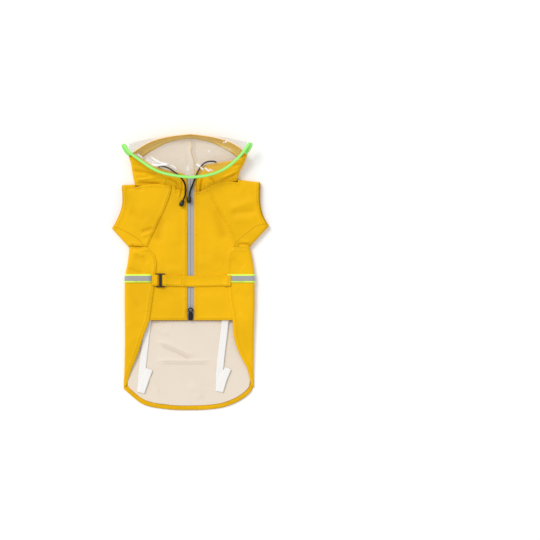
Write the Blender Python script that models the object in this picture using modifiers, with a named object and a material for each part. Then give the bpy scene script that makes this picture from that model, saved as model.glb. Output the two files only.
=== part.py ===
"""A dog's hooded raincoat, laid flat on its back with the belly side up.

Run with: blender --background --python part.py, or from the text editor.
Tables are in millimetres: X to the wearer's right as it lies, Y towards the head, Z up from the floor.
"""

import math
from collections import namedtuple

import bmesh
import bpy
from mathutils import Vector

MM = 0.001

# Walls and clearances
OUTER = 1.2  # coated outer cloth
THIN = 1.0  # lining, tapes, straps and the clear sheet
GAP = 0.3  # between pieces that touch
SEAM = GAP / 2  # each piece's share of a butted seam
TUCK = 5.0  # how far a front reaches under a flap or a sleeve

# Heights of the layers
OVER_POCKET = THIN + GAP  # what lies over one layer below the back
BELLY_MIDDLE = 8.2  # underside of the fronts at the zip
BELLY_SIDE = 9.0  # underside of the fronts from 60 mm out
TOP_LAYER = BELLY_SIDE + OUTER + GAP + OUTER / 2  # middle of the flaps' and sleeves' cloth
FLOOR_LAYER = OUTER / 2  # middle of the back's cloth where it lies on the floor
FOLD_STEPS = 5  # facets round a fold
FOLD_REACH = (TOP_LAYER - FLOOR_LAYER) / 2  # how far a fold bulges past the flat cloth

# Waist and pocket
WAIST_SEAM = -12.5
WAIST_BAND = (-21.0, -4.0)
WAIST_RAISED = (-22.5, -2.5)
RAMP = 7.5  # how long the cloth takes to rise over a piece
POCKET_HALF = 59.5
POCKET_RAISED = 60.5
POCKET_Y = (-184.0, -37.6)
POCKET_FLAP_Y = (-88.6, -37.6)
FLAP_RAISED = -91.0
POCKET_END = -186.0
UNDERARM = 49.0
BELLY_HEM = -96.0
FACING = 7.6  # width of the hem facing
NECK_BACK = 176.0
NECK_CLIMB = (54.5, 89.4, 185.05)  # the back neckline climbs between these X, to this Y

# Zip
ZIP_LEFT, ZIP_RIGHT = -6.4, 7.8
ZIP_MIDDLE = (ZIP_LEFT + ZIP_RIGHT) / 2
ZIP_TOP = 187.0
ZIP_TUCK = 3.0
ZIP_BOTTOM = -95.4

Row = namedtuple("Row", "y fold_left edge_left edge_right fold_right flap")
# Outline of the folded body: the folds, the free or seamed edges of the cloth that laps over the
# belly, and the height of the middle of that cloth.
BODY = (
    Row(49, -122.0, -89.0, 87.0, 118.8, TOP_LAYER),
    Row(43, -122.6, -79.6, 79.6, 120.0, TOP_LAYER),
    Row(33, -123.6, -70.6, 75.2, 122.4, TOP_LAYER),
    Row(18, -125.0, -66.4, 74.0, 125.0, TOP_LAYER),
    Row(0, -129.4, -69.2, 73.8, 127.4, TOP_LAYER),
    Row(-30, -131.5, -71.8, 75.0, 128.3, TOP_LAYER),
    Row(-56, -131.6, -76.0, 77.2, 128.4, TOP_LAYER),
    Row(-97, -131.2, -81.8, 84.6, 127.4, TOP_LAYER),
    Row(-126, -130.9, -93.4, 86.5, 126.5, 9.8),
    Row(-161, -131.2, -103.8, 97.0, 126.0, 7.8),
    Row(-195, -132.0, -118.4, 115.0, 125.8, 5.8),
    Row(-220, -133.6, -129.6, 122.6, 126.9, 4.4),
)
Across = namedtuple("Across", "x y")
TAIL_HEM = (
    Across(-134.6, -232.0), Across(-118.4, -246.6), Across(-103.8, -259.0), Across(-89.0, -267.0),
    Across(-56.8, -272.6), Across(-24.4, -275.6), Across(15.6, -275.4), Across(53.8, -272.2),
    Across(80.2, -265.6), Across(100.8, -255.4), Across(118.4, -242.2), Across(127.8, -229.0),
)
FLOOR_COLUMNS = (-117, -103, -89, -68, -60.5, -44, -24, 0, 24, 44, 60.5, 68, 89, 103, 114)
SKIRT_ROWS = (-22.5, -30, -37, -52, -72, -91, -98.5, -112, -126, -143, -161, -178, -186, -193.5, -207, -220)
SIDE_ROWS = (-2.5, 5, 18, 33, 43, UNDERARM)

Seam = namedtuple("Seam", "y x")
# Half width of the middle back panel, and of the back as far as the sleeve.
BACK_SEAM = (
    Seam(-12.5, 112.0), Seam(17, 110.0), Seam(42, 103.0), Seam(65, 88.0), Seam(93, 62.0),
    Seam(120, 48.0), Seam(150, 40.0), Seam(176, 37.0),
)
BACK_RAGLAN = (
    Seam(54, 114.8), Seam(60, 113.6), Seam(74, 110.6), Seam(88, 107.0), Seam(110, 99.0),
    Seam(126, 92.0), Seam(150, 80.0), Seam(176, 72.0),
)
NECK_FRONT = (
    Across(-110.0, 175.0), Across(-60.0, 177.0), Across(-37.0, 172.0), Across(-22.0, 165.5),
    Across(-6.4, 162.0), Across(7.8, 160.5), Across(18.0, 161.5), Across(33.5, 168.0),
    Across(50.0, 177.0), Across(69.0, 182.0), Across(95.0, 184.6),
)

Side = namedtuple("Side", "sign raglan armpit neck_fold shoulder cuff cuff_low raglan_top")
# Plan of each sleeve: front raglan seam from neck to underarm, armpit, the fold from neck to
# shoulder, the cuff from the shoulder down, where the lower fold meets it, and the back raglan's top
SLEEVES = {
    "left": Side(
        -1,
        ((-37.0, 171.5), (-36.6, 162.0), (-40.6, 153.0), (-51.2, 125.0), (-64.2, 99.0), (-72.8, 80.0),
         (-79.2, 66.0), (-86.5, 50.4)),
        (-118.0, 53.0), (-110.0, 175.0), (-134.0, 174.0),
        ((-132.6, 145.0), (-134.8, 128.0), (-143.4, 106.0), (-151.2, 91.2)),
        (-155.6, 87.4), -72.0,
    ),
    "right": Side(
        1,
        ((33.0, 167.6), (36.0, 158.0), (50.2, 132.0), (66.4, 105.0), (79.4, 79.0), (86.0, 58.0),
         (86.6, 50.4)),
        (115.0, 55.0), (95.0, 184.6), (137.0, 179.6),
        ((136.4, 145.0), (139.4, 121.0), (146.4, 104.0), (151.4, 96.0)),
        (155.4, 92.2), 72.0,
    ),
}
CUFF_PEEK = 3.0  # how far the back of the cuff shows past the front
SHOULDER_BAND = (148.0, 165.0)
SHOULDER_LINES = (167.0, 157.0, 147.0, 140.0)  # rows of the sleeve's back that run along the band

# Each half of the hood: the foot of its side fold from neck to temple, the brim from the middle to
# the temple, and the lower edge of the face opening from the temple to the throat
Hood = namedtuple("Hood", "sign fold brim lower_edge throat_x")
HOODS = {
    "left": Hood(
        -1,
        ((-105.0, 175.4), (-109.4, 192.0), (-111.4, 203.0), (-113.0, 214.0), (-118.4, 232.0)),
        ((-SEAM, 274.2), (-36.0, 270.4), (-64.8, 264.4), (-83.8, 257.4), (-104.8, 244.0), (-114.0, 238.0),
         (-118.4, 234.4)),
        ((-118.0, 229.6), (-105.0, 229.0), (-93.4, 225.4), (-80.0, 217.0), (-64.8, 209.6), (-45.6, 203.0),
         (-25.0, 199.0), (-14.0, 196.0), (-7.4, 188.4)),
        ZIP_LEFT,
    ),
    "right": Hood(
        1,
        ((89.4, 185.2), (91.8, 198.0), (95.4, 206.0), (102.6, 217.0), (109.2, 233.0)),
        ((SEAM, 274.2), (10.6, 273.2), (52.4, 267.0), (73.2, 261.0), (94.2, 251.0), (105.0, 241.6),
         (109.4, 236.6)),
        ((108.8, 230.4), (100.0, 226.8), (92.2, 223.6), (68.2, 220.0), (52.4, 217.2), (31.2, 213.6),
         (20.0, 208.6), (11.6, 202.0), (9.0, 190.0)),
        ZIP_RIGHT,
    ),
}
# Where the hood's cloth leaves the floor before the brim, how high the brim stands, and the height
# of the lower edge of the face opening, by the share of the way from the middle to the temple
BRIM_RUN = ((0, 9.5), (0.35, 16.0), (0.6, 30.0), (0.8, 34.0), (1, 34.0))
BRIM_HEIGHT = ((0, 19.0), (0.5, 17.0), (1, 17.0))
EDGE_HEIGHT = ((0, 20.0), (0.25, 16.0), (0.6, 13.8), (0.85, 12.6), (1, 10.1))
BRIM_ANGLES = (15, 30, 45, 60, 75, 90)
FACING_ANGLE = 30  # the facing inside the brim starts at this turn of its curve
HOOD_COLUMNS = (0, 0.12, 0.25, 0.4, 0.55, 0.7, 0.85, 1)
HOOD_ROWS = (0, 0.3, 0.65, 1)
TEMPLE_REACH = 4.0
GATHERS = 4  # gathers on each side of the throat
GATHER_DEPTH = 1.0
GATHER_SPAN = (11.0, 46.0)

Point = namedtuple("Point", "x y z")
# The visor's fold and its free edge from temple to temple, and the section between them
VISOR_FOLD = (
    Point(-123.4, 253.6, 26.4), Point(-112.0, 258.4, 28.5),
    Point(-79.0, 265.0, 30.0), Point(-36.0, 272.8, 31.0), Point(0.0, 275.2, 31.5),
    Point(52.0, 270.4, 31.0), Point(84.0, 265.2, 30.0), Point(103.0, 260.8, 28.2),
    Point(112.4, 259.0, 26.4),
)
VISOR_EDGE = (
    Point(-125.0, 249.8, 28.4), Point(-122.6, 246.0, 29.0), Point(-118.4, 240.8, 29.8),
    Point(-112.2, 235.9, 30.8), Point(-95.8, 224.2, 33.1), Point(-77.0, 211.3, 35.6),
    Point(-56.2, 201.4, 37.6), Point(-35.8, 196.5, 39.1), Point(-16.6, 193.5, 39.8),
    Point(0.0, 191.9, 40.0), Point(20.8, 193.5, 39.8), Point(41.8, 197.6, 39.1),
    Point(61.4, 205.2, 37.2), Point(77.2, 215.1, 35.2), Point(92.0, 228.0, 32.7),
    Point(102.2, 239.8, 30.7), Point(108.9, 249.6, 29.4), Point(112.8, 255.6, 28.4),
)
Bend = namedtuple("Bend", "inward rise")
VISOR_BENDS = (
    Bend(0.06, 0.75), Bend(0.18, 0.9), Bend(0.38, 1.0), Bend(0.62, 1.0), Bend(0.82, 1.0), Bend(1.0, 1.0),
)
VISOR_COLUMNS = 30
BINDING_RADIUS = 2.0
BINDING = (
    Point(-123.8, 233.4, 21.0), Point(-128.8, 240.2, 23.5), Point(-132.9, 246.8, 26.0),
    Point(-135.2, 251.8, 27.8), Point(-134.2, 255.0, 28.8), Point(-131.0, 254.6, 29.4),
    Point(-128.4, 250.8, 29.6), Point(-126.2, 246.4, 29.8), Point(-120.6, 238.8, 30.4),
    Point(-113.6, 233.6, 31.2), Point(-97.2, 221.8, 33.2), Point(-78.2, 208.8, 35.7),
    Point(-57.0, 198.8, 37.7), Point(-36.4, 193.8, 39.2), Point(-17.0, 190.8, 39.9),
    Point(0.0, 189.2, 40.0), Point(21.2, 190.8, 39.9), Point(42.6, 195.0, 39.2),
    Point(62.8, 202.8, 37.2), Point(79.2, 213.0, 35.2), Point(94.0, 226.2, 32.8),
    Point(104.4, 237.8, 30.8), Point(111.4, 247.8, 29.6), Point(116.6, 255.4, 29.4),
    Point(120.4, 258.2, 29.0), Point(124.0, 257.0, 28.2), Point(124.2, 253.4, 27.2),
    Point(120.2, 244.8, 24.0), Point(115.0, 236.6, 21.0),
)

CORD_RADIUS = 1.5
CORDS = {
    "left": (
        Point(-64.2, 210.0, 17.6), Point(-55.0, 210.6, 17.6), Point(-46.2, 208.6, 17.6),
        Point(-34.8, 202.0, 17.6), Point(-22.0, 192.0, 16.8), Point(-13.8, 182.0, 15.2),
        Point(-9.8, 172.0, 13.3), Point(-9.0, 162.0, 12.3), Point(-10.2, 153.6, 13.3),
        Point(-12.4, 147.2, 14.6), Point(-13.6, 144.4, 14.7),
    ),
    "right": (
        Point(52.4, 219.0, 18.0), Point(46.0, 220.8, 18.2), Point(38.4, 220.6, 18.2),
        Point(29.2, 217.6, 18.2), Point(20.2, 208.6, 17.9), Point(12.6, 194.6, 15.9),
        Point(7.2, 180.6, 13.5), Point(2.4, 168.6, 11.6), Point(-0.6, 160.6, 12.0),
        Point(-1.5, 154.8, 13.1), Point(-1.7, 152.2, 13.2),
    ),
}
CORD_END_PROFILE = ((2.4, 0.0), (3.2, 2.0), (4.4, 6.0), (5.0, 9.6), (4.4, 12.4), (2.6, 14.0))

BELT_HALF = 11.0
TAB_START = -77.0
BELT_Y = ((-77, -16.2), (-54, -16.5), (11, -18.5), (75, -17.0))
BUCKLE_X = (-68.5, -50.5)
BUCKLE_Y = -16.5
BUCKLE_LENGTH = 27.6
BUCKLE_BAR = 2.2
BUCKLE_PLATE = 1.5
BUCKLE_LOW = BELLY_SIDE + OUTER + 2 * GAP + THIN
OVER_BUCKLE = BUCKLE_LOW + BUCKLE_PLATE + GAP + THIN / 2
CENTRE_BAR_X, CENTRE_BAR_WIDTH, CENTRE_BAR_WALL = -59.4, 4.6, 1.4
BELT_TAIL_END = -14.0
LOOP_RADIUS = (OVER_BUCKLE - (BELLY_SIDE + OUTER + GAP + THIN / 2)) / 2

STRAP_HALF = 7.0
STRAP_FOLD = (THIN + GAP) / 2
STRAPS = {
    "left": (
        ((-84.5, -91.0, 6.3), (-86.6, -108.0, 3.6), (-91.0, -147.0, 3.4), (-95.6, -190.0, 3.4),
         (-99.2, -240.0, 3.4)),
        ((-98.4, -240.0, 4.7), (-90.0, -216.0, 4.7), (-82.0, -194.0, 4.7)),
    ),
    "right": (
        ((69.8, -91.0, 6.3), (68.6, -108.0, 4.8), (62.4, -159.0, 4.8), (59.6, -186.0, 4.8),
         (58.4, -203.0, 3.5), (58.0, -238.0, 3.4)),
        ((58.8, -238.0, 4.7), (66.0, -214.0, 4.8), (75.2, -192.0, 4.8)),
    ),
}

SLIDER = namedtuple("Slider", "low high half")(-96.0, -81.0, 4.5)
SLIDER_BOTTOM = BELLY_MIDDLE
SLIDER_TOP = BELLY_MIDDLE + 3.3
PULL_RADIUS = 1.0
PULL_AXIS_Y = -86.0
PULL_AXIS_Z = SLIDER_TOP + GAP + PULL_RADIUS + 0.05
BRIDGE_HALF, BRIDGE_WIDTH, BRIDGE_WALL = 3.6, 2.4, 1.4
PULL_SHAPE = (
    (0.0, 0.0), (2.6, 0.0), (3.4, 0.8), (3.6, 2.6), (4.1, 5.6), (4.5, 8.4), (4.4, 10.8), (3.4, 12.8),
    (1.8, 13.8), (0.0, 14.1),
)
SLIT = namedtuple("Slit", "x y width length")(-3.0, 64.0, 3.0, 8.0)


def smooth(points):
    """Return a curve value(key) through (key, value) points that never swings past them."""
    points = sorted(points)
    keys = [key for key, _ in points]
    values = [value for _, value in points]
    steps = [b - a for a, b in zip(keys, keys[1:])]
    slopes = [(b - a) / step for a, b, step in zip(values, values[1:], steps)]
    inner = [0 if a * b <= 0 else 2 * a * b / (a + b) for a, b in zip(slopes, slopes[1:])]
    tangents = [slopes[0], *inner, slopes[-1]]

    def value(key):
        key = min(max(key, keys[0]), keys[-1])
        i = max(k for k in range(len(steps)) if keys[k] <= key)
        t = (key - keys[i]) / steps[i]
        low = (1 + 2 * t) * (1 - t) ** 2 * values[i] + t * (1 - t) ** 2 * steps[i] * tangents[i]
        high = t * t * (3 - 2 * t) * values[i + 1] + t * t * (t - 1) * steps[i] * tangents[i + 1]
        return low + high

    return value


def path(points):
    """Return point(share) on a smooth curve through points, share running 0 to 1 along it."""
    points = [Vector(point) for point in points]
    along = [0.0]
    for a, b in zip(points, points[1:]):
        along.append(along[-1] + (b - a).length)
    axes = [smooth(list(zip(along, column))) for column in zip(*points)]
    return lambda share: Vector([axis(share * along[-1]) for axis in axes])


def line(start, end):
    """Return point(share) on the straight line between two points."""
    return lambda share: Vector(start).lerp(Vector(end), share)


def patch(top, bottom, start, end):
    """Return point(u, v) in the patch that four curves enclose: u from start to end, v from top to bottom."""

    def point(u, v):
        across = top(u).lerp(bottom(u), v)
        along = start(v).lerp(end(v), u)
        corners = top(0).lerp(top(1), u).lerp(bottom(0).lerp(bottom(1), u), v)
        return across + along - corners

    return point


def ease(share):
    share = min(max(share, 0.0), 1.0)
    return share * share * (3 - 2 * share)


def mix(a, b, share):
    return a + (b - a) * share


def steps(count):
    """Return count + 1 shares from 0 to 1."""
    return [k / count for k in range(count + 1)]


FOLD_LEFT = smooth([(row.y, row.fold_left) for row in BODY] + [(-232, -134.6)])
FOLD_RIGHT = smooth([(row.y, row.fold_right) for row in BODY] + [(-229, 127.8)])
EDGE_LEFT = smooth([(row.y, row.edge_left) for row in BODY])
EDGE_RIGHT = smooth([(row.y, row.edge_right) for row in BODY])
FLAP_HEIGHT = smooth([(row.y, row.flap) for row in BODY])
HEM = smooth(TAIL_HEM)
BACK_HALF = smooth(BACK_SEAM)
RAGLAN_HALF = smooth(BACK_RAGLAN)
NECK = smooth(NECK_FRONT)


def belly(x):
    """Height of the underside of the fronts."""
    return mix(BELLY_MIDDLE, BELLY_SIDE, ease((abs(x - ZIP_MIDDLE) - 12) / 46))


def back_neck(x):
    """Y of the back's neckline, which climbs towards the right shoulder."""
    start, end, top = NECK_CLIMB
    return mix(NECK_BACK, top, min(max((x - start) / (end - start), 0.0), 1.0))


def within(value, low, high, ramp):
    """1 between low and high, falling to 0 over a ramp outside them."""
    past = max(low - value, value - high, 0.0)
    return max(0.0, 1 - past / ramp)


def lift(x, y):
    """How far the back lies above the floor, over the waist band, the pocket and its flap."""
    band = OVER_POCKET * within(y, *WAIST_RAISED, RAMP)
    beside = within(x, -POCKET_RAISED, POCKET_RAISED, RAMP)
    pocket = OVER_POCKET * beside * within(y, POCKET_END, WAIST_RAISED[0], RAMP)
    flap = OVER_POCKET * beside * within(y, FLAP_RAISED, WAIST_RAISED[0] - 2 * RAMP, RAMP)
    return max(band, pocket) + flap


def material(name, colour, roughness, metallic=0.0, alpha=1.0):
    look = bpy.data.materials.new(name)
    look.use_nodes = True
    shader = look.node_tree.nodes["Principled BSDF"]
    shader.inputs["Base Color"].default_value = (*colour, 1)
    shader.inputs["Roughness"].default_value = roughness
    shader.inputs["Metallic"].default_value = metallic
    shader.inputs["Alpha"].default_value = alpha
    return look


def add(name, data, look, collection):
    thing = bpy.data.objects.new(name, data)
    data.materials.append(look)
    collection.objects.link(thing)
    return thing


def loft(name, rows, wall, look, collection, keep=None, closed=False):
    """Add a cloth shell over rows of points in millimetres that run along its middle.

    keep(row, column) says which cells of the grid are cloth. A closed loft joins each row's ends.
    """
    mesh = bmesh.new()
    grid = [[mesh.verts.new(Vector(point) * MM) for point in row] for row in rows]
    count = len(rows[0])
    for i in range(len(rows) - 1):
        for j in range(count if closed else count - 1):
            if keep and not keep(i, j):
                continue
            k = (j + 1) % count
            mesh.faces.new((grid[i][j], grid[i][k], grid[i + 1][k], grid[i + 1][j]))
    loose = [vert for vert in mesh.verts if not vert.link_faces]
    bmesh.ops.delete(mesh, geom=loose, context="VERTS")
    bmesh.ops.remove_doubles(mesh, verts=mesh.verts, dist=0.02 * MM)
    bmesh.ops.recalc_face_normals(mesh, faces=mesh.faces)
    data = bpy.data.meshes.new(name)
    mesh.to_mesh(data)
    mesh.free()
    data.shade_smooth()
    thing = add(name, data, look, collection)
    shell = thing.modifiers.new("Wall", "SOLIDIFY")
    shell.thickness = wall * MM
    shell.offset = 0
    shell.use_even_offset = True
    shell.use_quality_normals = True
    return thing


def arc(upper, lower, outward, reach=FOLD_REACH):
    """Points round a fold, from just past the upper point to just before the lower one."""
    upper, lower, outward = Vector(upper), Vector(lower), Vector(outward).normalized()
    middle, half = (upper + lower) / 2, (upper - lower) / 2
    turns = [math.pi * k / FOLD_STEPS for k in range(1, FOLD_STEPS)]
    return [middle + half * math.cos(turn) + outward * reach * math.sin(turn) for turn in turns]


def floor_point(x, y, out=0.0):
    return Vector((x, y, lift(x, y) + FLOOR_LAYER - out))


def fold_ends(y, side, out=0.0):
    """The two ends of the body's fold in one row: on the flap and on the floor layer."""
    fold = FOLD_LEFT(y) if side < 0 else FOLD_RIGHT(y)
    top = FLAP_HEIGHT(y)
    low = lift(fold, y) + FLOOR_LAYER
    reach = (top - low) / 2
    inner = fold - side * (OUTER / 2 + reach)
    return Vector((inner, y, top + out)), Vector((inner, y, low - out)), reach + out


def flap_points(y, side, out=0.0, columns=3, trim=0.0):
    """One row of the cloth that laps over the belly, from its edge to the fold."""
    edge = (EDGE_LEFT(y) if side < 0 else EDGE_RIGHT(y)) + side * trim
    upper, _, _ = fold_ends(y, side, out)
    start = Vector((edge, y, upper.z))
    return [start.lerp(upper, share) for share in steps(columns)]


def wrap(y, side, out=0.0, trim=0.0):
    """One row round the fold: flap edge, fold, and the fold's foot on the floor layer."""
    upper, lower, reach = fold_ends(y, side, out)
    return flap_points(y, side, out, trim=trim) + arc(upper, lower, (side, 0, 0), reach) + [lower]


def body_row(y, out=0.0, trims=(0.0, 0.0)):
    """One whole row of the body from the left flap's edge, under the back, to the right flap's edge."""
    middle = [floor_point(x, y, out) for x in FLOOR_COLUMNS]
    return wrap(y, -1, out, trims[0]) + middle + wrap(y, 1, out, trims[1])[::-1]


def build_skirt(look, collection):
    rows = [body_row(y) for y in (WAIST_SEAM - SEAM, *SKIRT_ROWS)]
    last = SKIRT_ROWS[-1]
    base = rows[-1]
    side = len(wrap(last, 1)) - 1
    for share in (0.5, 1.0):
        row = []
        for j, point in enumerate(base):
            if j < side or j > len(base) - 1 - side:
                row.append(point + Vector((0, -share, 0)))
                continue
            x = point.x
            if j == side:
                x = mix(x, TAIL_HEM[0].x + OUTER, share)
            if j == len(base) - 1 - side:
                x = mix(x, TAIL_HEM[-1].x - OUTER, share)
            row.append(floor_point(x, mix(last, HEM(x), share)))
        rows.append(row)

    def keep(i, j):
        return i < len(SKIRT_ROWS) or side <= j < len(rows[0]) - 1 - side

    return loft("back_skirt", rows, OUTER, look, collection, keep)


def hem_inset(depth, ends=0.0):
    """Points along the tail hem, moved in from its edge by a depth."""
    edge = path(TAIL_HEM)
    points = []
    for share in [ends + (1 - 2 * ends) * k / 26 for k in range(27)]:
        ahead, behind = edge(min(share + 0.01, 1)), edge(max(share - 0.01, 0))
        along = (ahead - behind).normalized()
        points.append(edge(share) + Vector((-along.y, along.x)) * depth)
    return points


def build_tail(look, collection):
    """The hem facing inside the tail's edge."""
    height = OUTER + GAP + THIN / 2
    rows = [[(point.x, point.y, height) for point in hem_inset(depth, 0.03)]
            for depth in (0.6, FACING)]
    return loft("tail_hem", rows, THIN, look, collection)


LINING_TOP = -97.0
LINING_ROWS = (-98.5, -112, -126, -143, -161, -178, -186, -193.5, -207)


def build_lining(look, collection):
    height = OUTER / 2 + GAP + THIN / 2
    inner = smooth([(point.x, point.y) for point in hem_inset(FACING + 4 * GAP)])
    clear = 2.0

    def columns(y):
        left = fold_ends(y, -1)[1].x + clear
        right = fold_ends(y, 1)[1].x - clear
        return [left, *FLOOR_COLUMNS, right]

    rows = [[floor_point(x, y, -height) for x in columns(y)] for y in (LINING_TOP, *LINING_ROWS)]
    for share in (0.5, 1.0):
        y = LINING_ROWS[-1]
        ends = (TAIL_HEM[0].x + FACING + 2, TAIL_HEM[-1].x - FACING - 2)
        across = [mix(columns(y)[0], ends[0], share), *FLOOR_COLUMNS, mix(columns(y)[-1], ends[1], share)]
        rows.append([floor_point(x, mix(y, inner(x), share), -height) for x in across])
    return loft("body_lining", rows, THIN, look, collection)


def build_back(look, collection):
    """The middle back panel, with a slit for a lead."""
    low, high = WAIST_SEAM + SEAM, NECK_BACK - SEAM
    rows = []
    for y in (low, -2.5, 5, 17, 30, 42, 54, 65, 79, 93, 106, 120, 135, 150, 163, high):
        half = BACK_HALF(y) - SEAM
        rows.append([floor_point(x * half, y) for x in (-1, -0.6, -0.3, 0, 0.3, 0.6, 1)])
    return loft("back_upper", rows, OUTER, look, collection)


def build_side_panel(name, side, look, collection):
    """From the back seam round the fold to the side seam, and up to the neck beside the sleeve."""
    wrapped = [WAIST_SEAM + SEAM, *SIDE_ROWS]
    rows = []
    for y in wrapped:
        row = wrap(y, side)
        seam = Vector((side * (BACK_HALF(y) + SEAM), y, 0))
        foot = row[-1]
        floor = [floor_point(mix(foot.x, seam.x, share), y) for share in (0.5, 1.0)]
        rows.append(row + floor)
    folded = len(wrap(0, side)) - 1
    last = rows[-1]
    for y in (54, 65, 79, 93, 106, 120, 135, 150, 163, NECK_BACK):
        outer = side * (RAGLAN_HALF(y) - SEAM)
        seam = side * (BACK_HALF(y) + SEAM)
        across = [mix(outer, seam, share) for share in (0, 0.5, 1)]
        row = list(last[:folded])
        row += [floor_point(x, y if y < NECK_BACK else back_neck(x) - SEAM) for x in across]
        rows.append(row)
    return loft(name, rows, OUTER, look, collection,
                lambda i, j: i < len(wrapped) - 1 or j >= folded)


def build_waist_band(look, collection):
    out = OUTER / 2 + GAP + THIN / 2
    rows = []
    for y in (WAIST_BAND[0], WAIST_SEAM, WAIST_BAND[1]):
        trims = (EDGE_LEFT(y) - TAB_START + GAP, GAP)
        rows.append(body_row(y, out, trims))
    return loft("waist_band", rows, THIN, look, collection)


def build_pocket(cloth, collection):
    half = POCKET_HALF
    low, high = POCKET_Y
    heights = ((low, 0), (FLAP_RAISED - RAMP, 0), (FLAP_RAISED, OVER_POCKET), (high, OVER_POCKET))
    rows = [[(x, y, THIN / 2 + rise) for x in (-half, half)] for y, rise in heights]
    loft("pocket", rows, THIN, cloth, collection)
    low, high = POCKET_FLAP_Y
    rows = [[(x, y, THIN / 2) for x in (-half, half)] for y in (low, high)]
    loft("pocket_flap", rows, THIN, cloth, collection)


FRONT_ROWS = (BELLY_HEM, -60, -30, 0, 18, 33, 43, 50, 58, 66, 80, 99, 112, 125, 140, 153, 162)


def front_outer(side):
    """X of a front's outer edge, tucked under the flap and the sleeve, by Y."""
    edge = EDGE_LEFT if side < 0 else EDGE_RIGHT
    raglan = SLEEVES["left" if side < 0 else "right"].raglan
    points = [(y, edge(y) + side * TUCK) for y in (BELLY_HEM, -60, -30, 0, 18, 33, 43)]
    points += [(y, x + side * TUCK * 1.3) for x, y in raglan[1:]]
    return smooth(points)


def build_front(name, side, look, collection):
    start = ZIP_LEFT if side < 0 else ZIP_RIGHT
    outer = front_outer(side)
    rows = []
    for y in FRONT_ROWS:
        end = outer(y)
        rows.append([(x, y, belly(x) + OUTER / 2) for x in [mix(start, end, s) for s in steps(5)]])
    top = [(x, NECK(x) - 3 * GAP, z) for x, _, z in rows[-1]]
    rows[-1] = [(x, min(y, edge[1] - 4), z) for (x, y, z), edge in zip(rows[-1], top)]
    rows.append(top)
    return loft(name, rows, OUTER, look, collection)


def build_zip_tapes(look, collection):
    height = BELLY_MIDDLE - GAP - THIN / 2
    for name, start, end in (
        ("zip_tape_left", ZIP_LEFT - ZIP_TUCK, ZIP_MIDDLE - SEAM),
        ("zip_tape_right", ZIP_MIDDLE + SEAM, ZIP_RIGHT + ZIP_TUCK),
    ):
        rows = [[(start, y, height), (end, y, height)] for y in (ZIP_BOTTOM, ZIP_TOP)]
        loft(name, rows, THIN, look, collection)


def sleeve_surfaces(side):
    """The four patches of a sleeve in plan: wing and tube of its front, wing and tube of its back."""
    inset = FOLD_REACH + OUTER / 2
    raglan = path([(x + side.sign * SEAM, y) for x, y in side.raglan])
    neck_in = (side.neck_fold[0], side.neck_fold[1] - inset)
    shoulder_in = (side.shoulder[0], side.shoulder[1] - inset)
    cuff = path([shoulder_in, *side.cuff])
    peek = Vector((side.sign * CUFF_PEEK, 0))
    corner = side.raglan[0]
    neck_front = [(x, NECK(x) - SEAM) for x in (corner[0], mix(corner[0], side.neck_fold[0], 0.3),
                                               mix(corner[0], side.neck_fold[0], 0.6))]
    neck_front.append(neck_in)
    middle = line(neck_in, side.armpit)
    along = [mix(side.raglan_top, side.neck_fold[0], share) for share in (0, 0.3, 0.6, 0.8)]
    neck_back = path([(x, back_neck(x) - SEAM) for x in along] + [neck_in])
    top = (side.sign * (RAGLAN_HALF(NECK_BACK) + SEAM), back_neck(side.raglan_top) - SEAM)
    back_raglan = path([top, *[(side.sign * (RAGLAN_HALF(y) + SEAM), y)
                               for y in (150, 126, 110, 88, 74)], side.armpit])
    return {
        "front_wing": patch(path(neck_front), line(side.raglan[-1], side.armpit), raglan, middle),
        "front_tube": patch(line(neck_in, shoulder_in), line(side.armpit, side.cuff[-1]), middle, cuff),
        "back_wing": patch(neck_back, line(side.armpit, side.armpit), back_raglan, middle),
        "back_tube": patch(line(neck_in, Vector(shoulder_in) + peek),
                           line(side.armpit, Vector(side.cuff[-1]) + peek), middle,
                           lambda v: cuff(v) + peek),
    }


WING_ROWS = (0, 0.35, 0.7, 0.92)
TUBE_ROWS = (0, 0.33, 0.66, 1.0)
FRONT_COLUMNS = 8


def shoulder_lift(y):
    return OVER_POCKET * within(y, SHOULDER_BAND[0] - 1, SHOULDER_BAND[1] + 2, RAMP)


def build_sleeve(name, side, look, collection):
    surfaces = sleeve_surfaces(side)
    rows = []
    fold_out = Vector((side.cuff_low[0] - side.cuff[-1][0], side.cuff_low[1] - side.cuff[-1][1], 0))
    kinds = [("wing", u) for u in WING_ROWS] + [("tube", u) for u in TUBE_ROWS]
    for kind, u in kinds:
        front, back = surfaces["front_" + kind], surfaces["back_" + kind]
        upper = []
        for v in steps(FRONT_COLUMNS):
            point = front(u, v)
            upper.append(Vector((point.x, point.y, belly(point.x) + TOP_LAYER - BELLY_SIDE)))
        top, bottom = back(u, 0), back(u, 1)
        shares = [0, *[(top.y - y) / (top.y - bottom.y) for y in SHOULDER_LINES]]
        shares += [mix(shares[-1], 1, k / 4) for k in (1, 2, 3, 4)]
        lower = []
        for v in shares:
            point = back(u, v)
            lower.append(Vector((point.x, point.y, FLOOR_LAYER + shoulder_lift(point.y))))
        row = upper + arc(upper[-1], lower[-1], fold_out) + lower[::-1]
        row += arc(lower[0], upper[0], (0, 1, 0))
        rows.append(row)
    wings = len(WING_ROWS)
    front_end = FRONT_COLUMNS
    back_start = front_end + FOLD_STEPS
    back_end = back_start + len(rows[0]) - 2 * (FOLD_STEPS - 1) - FRONT_COLUMNS - 2

    def keep(i, j):
        return i >= wings or j < front_end or back_start <= j < back_end

    return loft(name, rows, OUTER, look, collection, keep, closed=True)


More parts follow.
